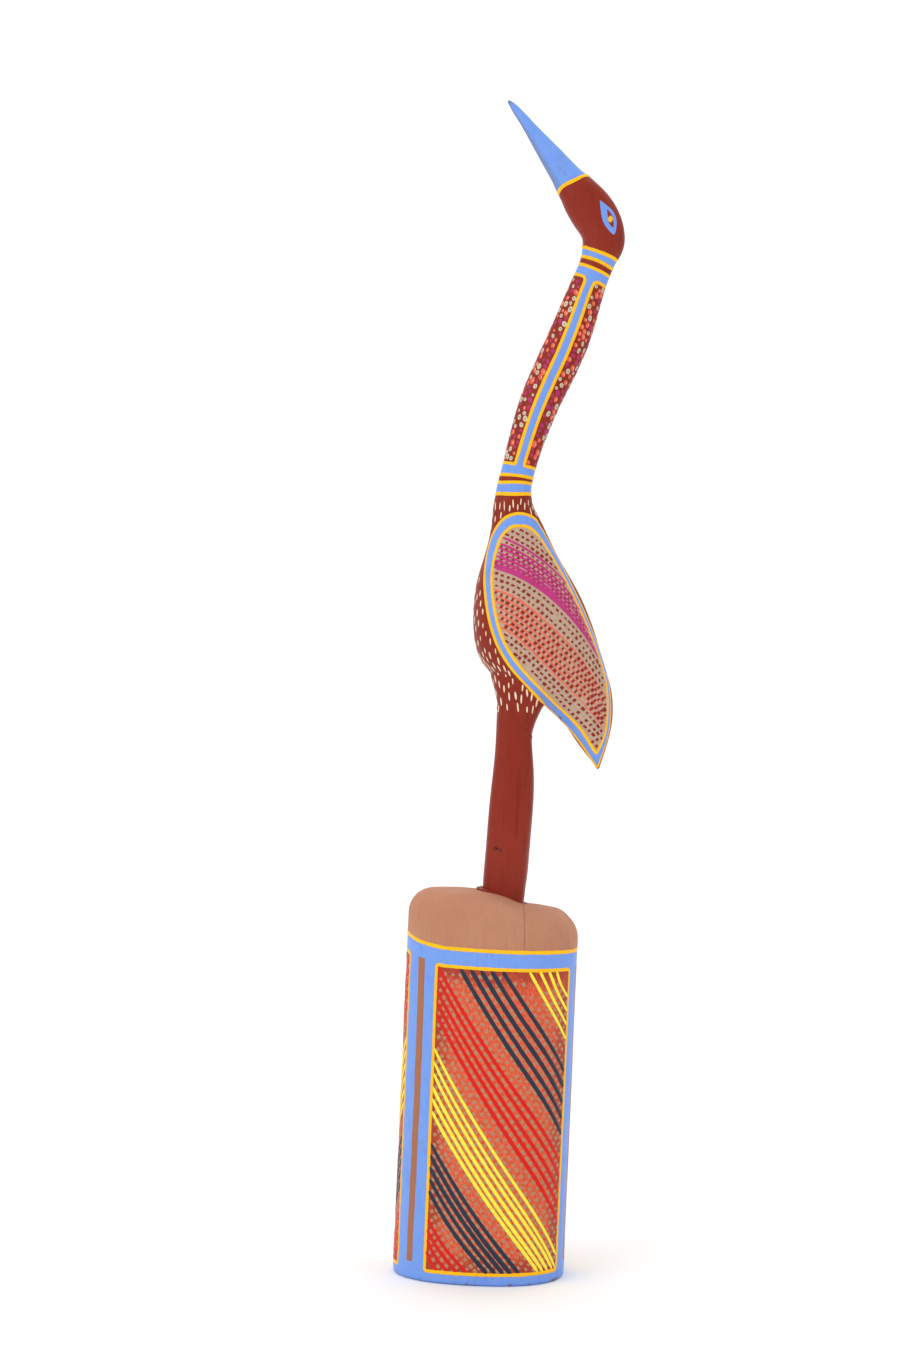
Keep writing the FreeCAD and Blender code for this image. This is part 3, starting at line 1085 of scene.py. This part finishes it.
def shape_bead(mesh):
    """A lump of glue on the leg's left; elsewhere the bead is wiped down close to the leg."""
    points = points_of(mesh)
    centre = (points.max(axis=0) + points.min(axis=0)) / 2
    flat = points[:, :2] - centre[:2]
    away = np.linalg.norm(flat, axis=1)
    way = flat / away[:, None]
    lump = np.exp(-((np.arctan2(flat[:, 1], -flat[:, 0])) / LUMP_TURN) ** 2)
    spread_out = np.clip((away - BEAD_INNER) / 2.5, 0, 1)
    points[:, :2] += way * (lump * spread_out * 1.5 - (1 - lump) * 1.3)[:, None]
    points[:, 2] += lump * (1 - spread_out) * 1.3 - (1 - lump) * 0.9 - hollow(points[:, 0])
    set_points(mesh, points)


# ---------------------------------------------------------------- the neck

COLLAR_LOW = (1.9, 9.0, 13.2)         # yellow rings up from the neck's foot
COLLAR_HIGH = (1.2, 6.8, 11.9)        # yellow rings down from the head
FRAME_LOW = 19.8                      # the dotted panels' frames, from either end
FRAME_HIGH = 18.6
STRIPE_TURN = radians(16.5)           # from the neck's side to the frame line
STRIPE_RADIUS = 10.4                  # the neck's radius where its stripes are measured
FRAME_RADIUS = 11.0                   # and where the frames are laid out
FRAME_CORNERS = (1, 3.6, 3.6, 1)
FRAME_LINE = 1.02
DOT_GAP = 3.1
DOT_EDGE = 2.4                        # from a frame to the nearest dots
# Each kind of dot, and the painted highlight set on the coral dots: its piece, material, two colours,
# slot and corners.
DOT_KINDS = {
    "beige": ("neck_beige_dots", "beige_dots", shade(206, 190, 168), shade(176, 156, 132),
              "cream_paint", 10),
    "centre": ("neck_dot_centres", "dot_centres", shade(150, 128, 112), shade(120, 96, 84),
               "cream_paint", 7),
    "coral": ("neck_coral_dots", "coral_dots", shade(226, 98, 70), shade(190, 62, 44),
              "coral_paint", 10),
    # pale pink painted highlights laid on the coral dots
    "painted_highlight": ("neck_painted_highlights", "painted_highlights", shade(246, 178, 156), shade(232, 140, 116),
              "cream_paint", 6),
    "magenta": ("neck_magenta_dots", "magenta_dots", shade(176, 44, 100), shade(136, 30, 78),
                "magenta_paint", 10),
}
STRAIGHT_TOP = 8                      # millimetres of the neck's top that don't bend
TILT_END = 40                         # how far up the neck the tilt dies out
FOOT_TILT = 1.3                       # the lowest rings lie level, not square to the neck


class Neck:
    """The neck as a bent rod: millimetres up its middle line, and a turn round it."""

    def __init__(self, obj, *others):
        skin = Surface(obj)
        self.surface = Surface(obj, *others)
        heights = np.linspace(NECK_JOINT.z + 1.5, HEAD_JOINT.z - 6, 24)
        line = [NECK_JOINT]
        for z in heights:
            left, right = skin.side_on(z, -1), skin.side_on(z, 1)
            line.append(Vector(((left.x + right.x) / 2, 0, z)))
        line.append(HEAD_JOINT)
        line = smooth_path([(spot.x, spot.z) for spot in line[::3] + [line[-1]]], step=1.0)
        bend, way = line[-STRAIGHT_TOP - 1], line[-STRAIGHT_TOP - 1] - line[-STRAIGHT_TOP - 3]
        way /= np.linalg.norm(way)
        line = np.vstack([line[:-STRAIGHT_TOP], [bend + way * k for k in range(1, STRAIGHT_TOP + 1)]])
        steps = np.linalg.norm(np.diff(line, axis=0), axis=1)
        self.line, self.reach = line, np.concatenate([[0], np.cumsum(steps)])
        self.length = self.reach[-1]

    def middle(self, along):
        """The middle line's place and direction at a distance up the neck."""
        held = min(max(along, 1), self.length - 1)
        a, b = (Vector((np.interp(s, self.reach, self.line[:, 0]), 0,
                        np.interp(s, self.reach, self.line[:, 1]))) for s in (held - 1, held + 1))
        way = (b - a).normalized()
        return a + way * (along - held + 1), way

    def place(self, turn, along):
        """The skin at a turn from the front side, +X way round, at a distance up the neck."""
        spot, way = self.middle(along + FOOT_TILT * sin(turn) * max(1 - along / TILT_END, 0))
        across = Vector((way.z, 0, -way.x))
        out = Vector((0, -1, 0)) * cos(turn) + across * sin(turn)
        return self.surface.meet(spot + out * 40, -out)

    def sheet(self, points):
        """Distance up the neck and turn from the front side, of points on the skin."""
        flat = points[:, [0, 2]]
        index = np.array([np.argmin(np.sum((self.line - spot) ** 2, axis=1)) for spot in flat])
        way = np.gradient(self.line, axis=0)[index]
        way /= np.linalg.norm(way, axis=1)[:, None]
        off = flat - self.line[index]
        along = self.reach[index] + np.sum(off * way, axis=1)
        across = off[:, 0] * way[:, 1] - off[:, 1] * way[:, 0]
        turn = np.arctan2(across, -points[:, 1])
        return along - FOOT_TILT * np.sin(turn) * np.clip(1 - along / TILT_END, 0, 2), turn


def mark_neck(neck, mesh):
    """Keeps how far each point is inside the blue; gives back where the points are."""
    points = points_of(mesh)
    along, turn = neck.sheet(points)
    down = neck.length - along
    from_side = np.arctan2(np.abs(np.sin(turn)), np.abs(np.cos(turn)))
    stripe = (STRIPE_TURN - from_side) * STRIPE_RADIUS
    blue = [np.minimum(along - COLLAR_LOW[0], COLLAR_LOW[1] - along),
            np.minimum(along - COLLAR_LOW[2], FRAME_LOW - along),
            np.minimum(down - COLLAR_HIGH[0], COLLAR_HIGH[1] - down),
            np.minimum(down - COLLAR_HIGH[2], FRAME_HIGH - down),
            np.minimum(stripe, np.minimum(along - FRAME_LOW + 2, down - FRAME_HIGH + 2))]
    keep_number(mesh, "blue", np.max(blue, axis=0))
    return along, turn


def rounded(corners, radii, step=1.0):
    """A closed flat path with its corners rounded."""
    path = []
    spots = [Vector(spot) for spot in corners]
    for k, (spot, radius) in enumerate(zip(spots, radii)):
        back = (spots[k - 1] - spot).normalized() * radius
        on = (spots[(k + 1) % len(spots)] - spot).normalized() * radius
        for t in np.linspace(0, 1, 6):
            path.append(spot + back * (1 - t) ** 2 + on * t ** 2)
        after = spots[(k + 1) % len(spots)]
        start, end = path[-1], after + (spot - after).normalized() * radii[(k + 1) % len(spots)]
        count = int((end - start).length / step)
        path += [start.lerp(end, t / count) for t in range(1, count)]
    return path


def paint_neck(neck, mesh, along, turn, rng):
    """Collars, the two dotted panels' frames and the dots themselves."""
    yellow = Lines()
    rings = list(COLLAR_LOW) + [neck.length - down for down in COLLAR_HIGH]
    for number, height in enumerate(rings):
        wave = rng.uniform(-0.18, 0.18, 2)
        yellow.add([neck.place(t, height + wave[0] * sin(2 * t) + wave[1] * cos(3 * t))
                    for t in np.linspace(0, 2 * pi, 64, endpoint=False)],
                   1.05 if number % 3 else 1.2, closed=True)
    high = neck.length - FRAME_HIGH
    left, right = STRIPE_TURN * FRAME_RADIUS, (pi - STRIPE_TURN) * FRAME_RADIUS
    for side in (-1, 1):
        loop = rounded([(left, FRAME_LOW), (left, high), (right, high), (right, FRAME_LOW)],
                       FRAME_CORNERS)
        yellow.add([neck.place(side * spot.x / FRAME_RADIUS, spot.y) for spot in loop],
                   FRAME_LINE, closed=True)
    yellow.make("neck_yellow_lines", bpy.data.materials["outline_yellow"], "yellow_paint", seed=5.0)
    paint_dots(mesh, along, turn, high, rng)


def paint_dots(mesh, along, turn, high, rng):
    """Ringed dots, coral dots with a pale painted highlight, and plain dots, scattered close together.
    """
    from_side = np.arctan2(np.abs(np.sin(turn)), np.abs(np.cos(turn)))
    free = ((along > FRAME_LOW + DOT_EDGE) & (along < high - DOT_EDGE)
            & (from_side > STRIPE_TURN + 0.22))
    spots = points_of(mesh)[free]
    normals = normals_of(mesh)[free]
    kinds = {kind: Dabs() for kind in DOT_KINDS}
    for index in spread(spots, rng, DOT_GAP):
        place = (Vector(spots[index]), Vector(normals[index]))
        add_dot(kinds, place, rng)
    for seed, (kind, (name, material, light, dark, slot, corners)) in enumerate(DOT_KINDS.items(), 1):
        kinds[kind].make(name, paint(material, light, dark), slot, corners=corners, seed=seed)


def add_dot(kinds, place, rng):
    """One dot, of a kind taken by chance."""
    spot, facing = place
    along = Vector((rng.uniform(-0.5, 0.5), rng.uniform(-0.3, 0.3), 1))
    aside = along.cross(facing).normalized()
    kind = rng.random()
    long = rng.uniform(2.2, 4.2)
    if kind < 0.38:
        kinds["beige"].add(place, along, long, long * 0.8, 0.14)
        kinds["centre"].add(place, along, long * 0.38, long * 0.3, 0.2)
    elif kind < 0.70:
        kinds["coral"].add(place, along, long * 1.12, long * 0.84, 0.16)
        # a small pale painted highlight, set to one side of the coral dot
        kinds["painted_highlight"].add((spot + aside * long * 0.14, facing), along, long * 0.6, long * 0.2, 0.22)
    else:
        kinds["magenta"].add(place, along, long * 0.95, long * 0.76, 0.13)


# ---------------------------------------------------------------- the body and wings

# The wing's outline from the neck's joint, round the front edge to the tail's tip and back up the
# ridge: across, up, and how far in the inner outline runs.
WING = (
    (2.6, -10.2, 7.6), (-7.3, -14.5, 6.6), (-14.4, -27.2, 5.0), (-17.9, -50.8, 4.3), (-13.9, -79.9, 4.3),
    (-3.6, -101.9, 4.6), (16.3, -123.7, 4.5), (35.1, -142.6, 5.0), (51.4, -165.3, 8.5),
    (58.7, -140.5, 2.1), (57.9, -111.5, 1.7), (47.9, -80.9, 1.9), (33.4, -49.0, 2.3), (21.0, -25.9, 3.5),
    (17.0, -18.9, 4.8), (12.3, -12.6, 6.8),
)
TAIL_TIP = 8                          # its place in the outline
# Rows of the weave run between these, from the front edge to the ridge and past it.
MAGENTA_TOP = ((-22, -18), (-6.6, -23.9), (9.8, -32.6), (26.3, -45.8), (41, -63), (56, -87))
MAGENTA_FOOT = ((-22, -41), (-13.3, -43.5), (3.5, -49.8), (21.8, -61.8), (40.2, -81.1), (60, -112))
CORAL_TOP = ((-22, -53), (-12.8, -55.8), (3.5, -63.1), (21.7, -78.2), (40, -97), (58, -124))
CORAL_FOOT = ((-22, -74), (-11.6, -78.2), (3.4, -87.3), (27.7, -111.5), (46.3, -130.5), (62, -152))
GUIDES = (MAGENTA_TOP, MAGENTA_FOOT, CORAL_TOP, CORAL_FOOT)
CHIP = NECK_JOINT + Vector((27.0, -12, -134.8))
SHOULDER_DEPTH = 22                   # the dashes are closer and thinner down to here
DASH_GAPS = (2.4, 3.1)                # above that and below it
DASH_HEAD = -2.5                      # heights from the neck's joint where the dashes start and end
DASH_FOOT = -128
DASH_EDGE = 2.4                       # from the wing's outline to the nearest dashes
DASH_STRETCH = 2.4                    # how much further apart they are end to end
WEAVE_PITCH = 3.6
NARROWING = (22, 56)                  # across: where the lines crowd together and get thinner
MAGENTA_LINES = 8
CORAL_LINES = 7


def wing_outlines():
    """The outer and inner outlines as closed flat paths."""
    outer = np.array([spot[:2] for spot in WING])
    inward = []
    for k, (*_, inset) in enumerate(WING):
        run = outer[(k + 1) % len(outer)] - outer[k - 1]
        way = np.array((-run[1], run[0])) / np.linalg.norm(run)
        inward.append(outer[k] + way * inset)
    return [sharp_loop(path) for path in (outer, np.array(inward))]


def sharp_loop(path):
    """A smooth loop that keeps its point at the tail's tip."""
    return pointed_loop(np.roll(path, -TAIL_TIP, axis=0))


def guide(level, share):
    """A flat place on the weave: level counts guides down, share runs along them."""
    low = min(max(int(level), 0), len(GUIDES) - 2)
    paths = [np.array(GUIDES[low + k], float) for k in (0, 1)]
    spots = [np.array([np.interp(share * 5, range(6), path[:, k]) for k in (0, 1)]) for path in paths]
    return spots[0] + (spots[1] - spots[0]) * (level - low)


def flat_row(level):
    """A row's flat path, smoothed."""
    spots = [guide(level, share) for share in np.linspace(0, 1, 6)]
    return smooth_path(spots, step=1.0)


def mark_body(mesh, outer, inner):
    """Keeps how far each point is inside the wing's two outlines."""
    points = points_of(mesh)
    flat = points[:, [0, 2]] - np.array((NECK_JOINT.x, NECK_JOINT.z))
    wing = inside_by(flat, outer)
    away = points - np.array(CHIP)
    keep_number(mesh, "wing", wing)
    keep_number(mesh, "field", inside_by(flat, inner))
    keep_number(mesh, "chip", np.sqrt((away[:, 0] * 0.6) ** 2 + (away[:, 2] * 1.2) ** 2)
                + 9 * (points[:, 1] > 0))
    return points, flat, wing


def on_wing(skin, flat, side):
    return skin.side(NECK_JOINT.x + flat[0], NECK_JOINT.z + flat[1], side)


def weave_levels():
    """Levels of the weave's rows: (level, kind), where a gap is the row between two lines."""
    rows = [(level, "plain") for level in (-0.92, -0.75, -0.58, -0.41, -0.24, -0.08)]
    magenta = 0.04 + 0.92 * np.linspace(0, 1, MAGENTA_LINES) ** 0.8
    rows += [(level, "magenta") for level in magenta]
    rows += [(level, "magenta gap") for level in (magenta[:-1] + magenta[1:]) / 2]
    rows += [(level, "plain") for level in (1.2, 1.5, 1.8)]
    coral = np.linspace(2.02, 2.98, CORAL_LINES)
    rows += [(level, "coral") for level in coral]
    rows += [(level, "coral gap") for level in (coral[:-1] + coral[1:]) / 2]
    rows += [(level, "plain") for level in (3.12, 3.29, 3.46, 3.63, 3.8, 3.97, 4.14, 4.31)]
    return rows


def paint_wing(skin, side, inner, pieces, rng):
    """The weave on one wing: coloured lines, and red cells left between them."""
    for level, kind in weave_levels():
        if kind in pieces:
            path = flat_row(level)
            inside = inside_by(path, inner) > 0.3
            width = (magenta_half(level) if kind == "magenta" else 0.62) * rng.uniform(0.85, 1.1)
            wave = rng.uniform(-0.2, 0.2)
            for run in runs(path + (0, wave), inside):
                narrow = np.interp([flat[0] for flat in run], NARROWING, (1.0, 0.45))
                pieces[kind].add([on_wing(skin, flat, side) for flat in run], width * narrow, taper=0.03)
            continue
        add_cells(skin, side, inner, level, kind, pieces["cell"], rng)


def magenta_half(level):
    """Half a magenta line's width: the band's lower lines nearly close up."""
    return 0.76 + 0.7 * max(level - 0.5, 0)


def add_cells(skin, side, inner, level, kind, dabs, rng):
    """A row of small squares of the ground colour."""
    long, wide = {"plain": (2.2, 1.75), "magenta gap": (1.9, 1.45), "coral gap": (2.1, 2.1)}[kind]
    path = flat_row(level)
    reach = np.concatenate([[0], np.cumsum(np.linalg.norm(np.diff(path, axis=0), axis=1))])
    spots = [(np.interp(s, reach, path[:, 0]), np.interp(s, reach, path[:, 1]))
             for s in np.arange(rng.uniform(0.6, 1.4), reach[-1], WEAVE_PITCH)]
    spots = np.array(spots) + rng.uniform(-0.22, 0.22, (len(spots), 2))
    inside = inside_by(spots, inner) > 1.3
    for flat, after, fits in zip(spots, np.roll(spots, -1, axis=0), inside):
        if fits and rng.random() > 0.03:
            run = after - flat if after[0] > flat[0] else np.array((0.7, -0.7))
            length = long * sqrt(2) * rng.uniform(0.8, 1.15)
            width = wide * sqrt(2) * rng.uniform(0.85, 1.15)
            dabs.add(on_wing(skin, flat, side), Vector((run[0], 0, run[1])), length, width, 0.12)


def runs(path, inside):
    """The stretches of a path that are inside."""
    out, now = [], []
    for spot, kept in zip(path, inside):
        if kept:
            now.append(spot)
        elif now:
            out.append(now)
            now = []
    return [run for run in out + [now] if len(run) > 3]


def paint_body(skin, body, outer, inner, marks, rng):
    """Both wings' outlines and weave, and the cream dashes round them."""
    points, flat, wing = marks
    yellow = Lines()
    pieces = {"magenta": Lines(), "coral": Lines(), "cell": Dabs()}
    for side in (-1, 1):
        for path, ridge in ((outer, 0.6), (inner, 0.8)):
            add_outline(yellow, skin, path, side, ridge)
        paint_wing(skin, side, inner, pieces, rng)
    yellow.make("wing_yellow_outlines", bpy.data.materials["outline_yellow"], "yellow_paint", seed=6.0)
    pieces["magenta"].make("wing_magenta_lines", paint("magenta", MAGENTA, shade(150, 34, 94)),
                           "magenta_paint", seed=7.0)
    pieces["coral"].make("wing_coral_lines", paint("coral", shade(228, 108, 82), shade(196, 72, 52)),
                         "coral_paint", seed=8.0)
    pieces["cell"].make("wing_red_cells", paint("cell_red", shade(138, 40, 32), shade(108, 28, 22)),
                        "earth_red_paint", corners=4, uneven=0.5)
    add_dashes(points, flat, wing, normals_of(body.data), rng)


def add_outline(yellow, skin, path, side, ridge):
    """One outline of one wing, drawn thinner along the ridge."""
    met = [on_wing(skin, flat, side) for flat in path]
    near_ridge = (path[:, 0] > 14 + 0.1 * -path[:, 1]) & (np.arange(len(path)) < len(path) / 2)
    thick = [place for place, thin in zip(met, near_ridge) if not thin]
    thin = [place for place, thin in zip(met, near_ridge) if thin]
    yellow.add(thin + thick[:2], ridge, taper=0.01)
    yellow.add(thick, 1.0, taper=0.01)


def add_dashes(points, flat, wing, normals, rng):
    """Short cream dashes down the breast and shoulders."""
    breast = (flat[:, 0] < 6 + 0.28 * -flat[:, 1]) | (flat[:, 1] > -24)
    foot = DASH_FOOT + rough_noise(points, (5, 5, 5), 7) * 6
    under = (normals[:, 2] < -0.55) & (flat[:, 0] > 16)
    free = (wing < -DASH_EDGE) & breast & (flat[:, 1] < DASH_HEAD) & (flat[:, 1] > foot) & ~under
    dashes = Dabs()
    high = flat[:, 1] > -SHOULDER_DEPTH
    for zone, gap in zip((free & high, free & ~high), DASH_GAPS):
        add_zone(dashes, points[zone], normals[zone], gap, rng)
    dashes.make("body_cream_dashes", paint("cream", CREAM, shade(206, 178, 140)), "cream_paint")


def add_zone(dashes, spots, facings, gap, rng):
    """Dashes over one part of the body, so far apart."""
    for index in spread(spots, rng, gap, np.array((0, 0, 1.0)), DASH_STRETCH):
        spot, facing = Vector(spots[index]), Vector(facings[index])
        deep = NECK_JOINT.z - spot.z
        length = 5.6 if deep < SHOULDER_DEPTH else 4.2 + 1.8 * min(max((deep - 80) / 30, 0), 1)
        lean = Vector((rng.uniform(-0.12, 0.12), 0, -1))
        dashes.add((spot, facing), lean - facing * lean.dot(facing), length * rng.uniform(0.8, 1.15),
                   (1.0 if deep < SHOULDER_DEPTH else 1.2) * rng.uniform(0.8, 1.2), 0.14)


# ---------------------------------------------------------------- the head and beak

# The eye from its upper tip, round: across and up from the head's joint.
EYE_OUTER = ((-0.7, 30.9), (3.9, 27.5), (8.0, 23.6), (9.7, 17.4), (8.2, 10.0), (4.2, 13.0), (1.1, 18.0),
             (-0.2, 25.0))
EYE_INNER = ((3.6, 25.6), (6.2, 22.6), (7.5, 18.6), (7.6, 14.2), (5.1, 16.4), (4.3, 20.2))
EYE_DOT = (5.8, 19.2)
RING_WAVE = 0.4
RING_SAG = 1.7
RING_TILT = 0.5


def ring_shift(turn):
    """How far up the beak its yellow ring is brushed, at a turn round it."""
    return RING_WAVE * np.sin(3 * turn + 1) - RING_SAG * np.sin(turn) ** 4 - RING_TILT * np.sin(turn)


def mark_head(mesh):
    """Keeps how far each point is inside the blue: the eye's almond, less its red middle, and
    what lies beyond the beak's ring."""
    points = points_of(mesh)
    flat = points[:, [0, 2]] - np.array((HEAD_JOINT.x, HEAD_JOINT.z))
    outer, inner = (inside_by(flat, pointed_loop(path)) for path in (EYE_OUTER, EYE_INNER))
    away = points - np.array(BEAK_JOINT)
    way = cut_way("head", BEAK_JOINT)
    across = np.array(way.cross(Vector((0, 1, 0))).normalized())
    beyond = away @ np.array(way) - ring_shift(np.arctan2(away @ across, away[:, 1]))
    keep_number(mesh, "blue", np.maximum(np.minimum(outer, -inner), beyond))


def mark_beak(mesh):
    """Keeps the distance from the tip, and how far each place faces down and to the left, where the
    beak's painted shade goes.
    """
    points = points_of(mesh)
    keep_number(mesh, "tip", points[:, 2].max() - points[:, 2])
    # how far each place faces down and to the left: this sets the beak's painted shade
    keep_number(mesh, "under", normals_of(mesh) @ np.array((-0.87, 0, -0.5)))


def ring_round(skin, centre, way, count=60):
    """Places round a piece, across its length: a brushed ring that sags at both its sides."""
    across = way.cross(Vector((0, 1, 0))).normalized()
    places = []
    for turn in np.linspace(0, 2 * pi, count, endpoint=False):
        out = Vector((0, 1, 0)) * cos(turn) + across * sin(turn)
        places.append(skin.meet(centre + way * ring_shift(turn) + out * 30, -out))
    return places


def paint_head(skin):
    """The dot in each eye, and the yellow ring at the root of the beak."""
    yellow, dots = Lines(), Dabs()
    for side in (-1, 1):
        dots.add(skin.side(HEAD_JOINT.x + EYE_DOT[0], HEAD_JOINT.z + EYE_DOT[1], side),
                 Vector((0.2, 0, 1)), 3.8, 3.4, 0.3)
    way = cut_way("head", BEAK_JOINT)
    yellow.add(ring_round(skin, BEAK_JOINT, way), 1.2, closed=True)
    yellow.make("beak_yellow_ring", bpy.data.materials["outline_yellow"], "yellow_paint", seed=10.0)
    dots.make("eye_yellow_dots", bpy.data.materials["outline_yellow"], "yellow_paint", corners=12)


# ---------------------------------------------------------------- putting it together

add_camera()
add_studio()
chance = np.random.default_rng(11)

log_wood = carve("log_carved", "base_block", 1.1, rounds=3, marks=0.22, mark_size=(16, 16, 40))
shape_crown(log_wood.data)
log_sides = Log(log_wood)
mark_log(log_sides, log_wood.data)
finish_piece(log_wood, log_ground(), "base_block", slot="bare_wood")
paint_log(log_sides, chance)

leg = carve("leg_carved", "leg_post", 0.6, joints=[LEG_JOINT], marks=0.3, mark_size=(8, 8, 60))
mark_leg(leg.data)
finish_piece(leg, leg_ground(), "leg_post", slot="earth_red_paint")

bead = carve("foot_glue", "foot_glue_bead", 0.35, rounds=2, marks=0.25, mark_size=(3, 3, 3))
shape_bead(bead.data)
finish_piece(bead, glue_coat(), "foot_glue_bead", slot="wood_glue")

body = carve("body_carved", "body", 0.7, joints=[LEG_JOINT, NECK_JOINT], marks=0.2,
             mark_size=(10, 10, 26))
wing_outer, wing_inner = wing_outlines()
body_marks = mark_body(body.data, wing_outer, wing_inner)
finish_piece(body, body_ground(), "body", slot="earth_red_paint")
paint_body(Surface(body), body, wing_outer, wing_inner, body_marks, chance)

head = carve("head_carved", "head", 0.5, joints=[HEAD_JOINT, BEAK_JOINT], marks=0.2,
             mark_size=(7, 7, 12))
mark_head(head.data)
finish_piece(head, head_ground(), "head", slot="earth_red_paint")

neck_wood = carve("neck_carved", "neck", 0.6, joints=[NECK_JOINT, HEAD_JOINT], marks=0.12)
neck_line = Neck(neck_wood, head, body)
neck_along, neck_turn = mark_neck(neck_line, neck_wood.data)
finish_piece(neck_wood, neck_ground(), "neck", slot="sky_blue_paint")
paint_neck(neck_line, neck_wood.data, neck_along, neck_turn, chance)

beak = carve("beak_carved", "beak", 0.45, joints=[BEAK_JOINT], marks=0.1, mark_size=(5, 5, 12))
mark_beak(beak.data)
finish_piece(beak, beak_ground(), "beak", slot="sky_blue_paint")
paint_head(Surface(head, beak))

dowels = dowel_wood()
for joint in ("leg", "neck", "head", "beak"):
    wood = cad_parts[joint + "_dowel"]
    wood.data.materials.clear()
    wood.data.materials.append(dowels)
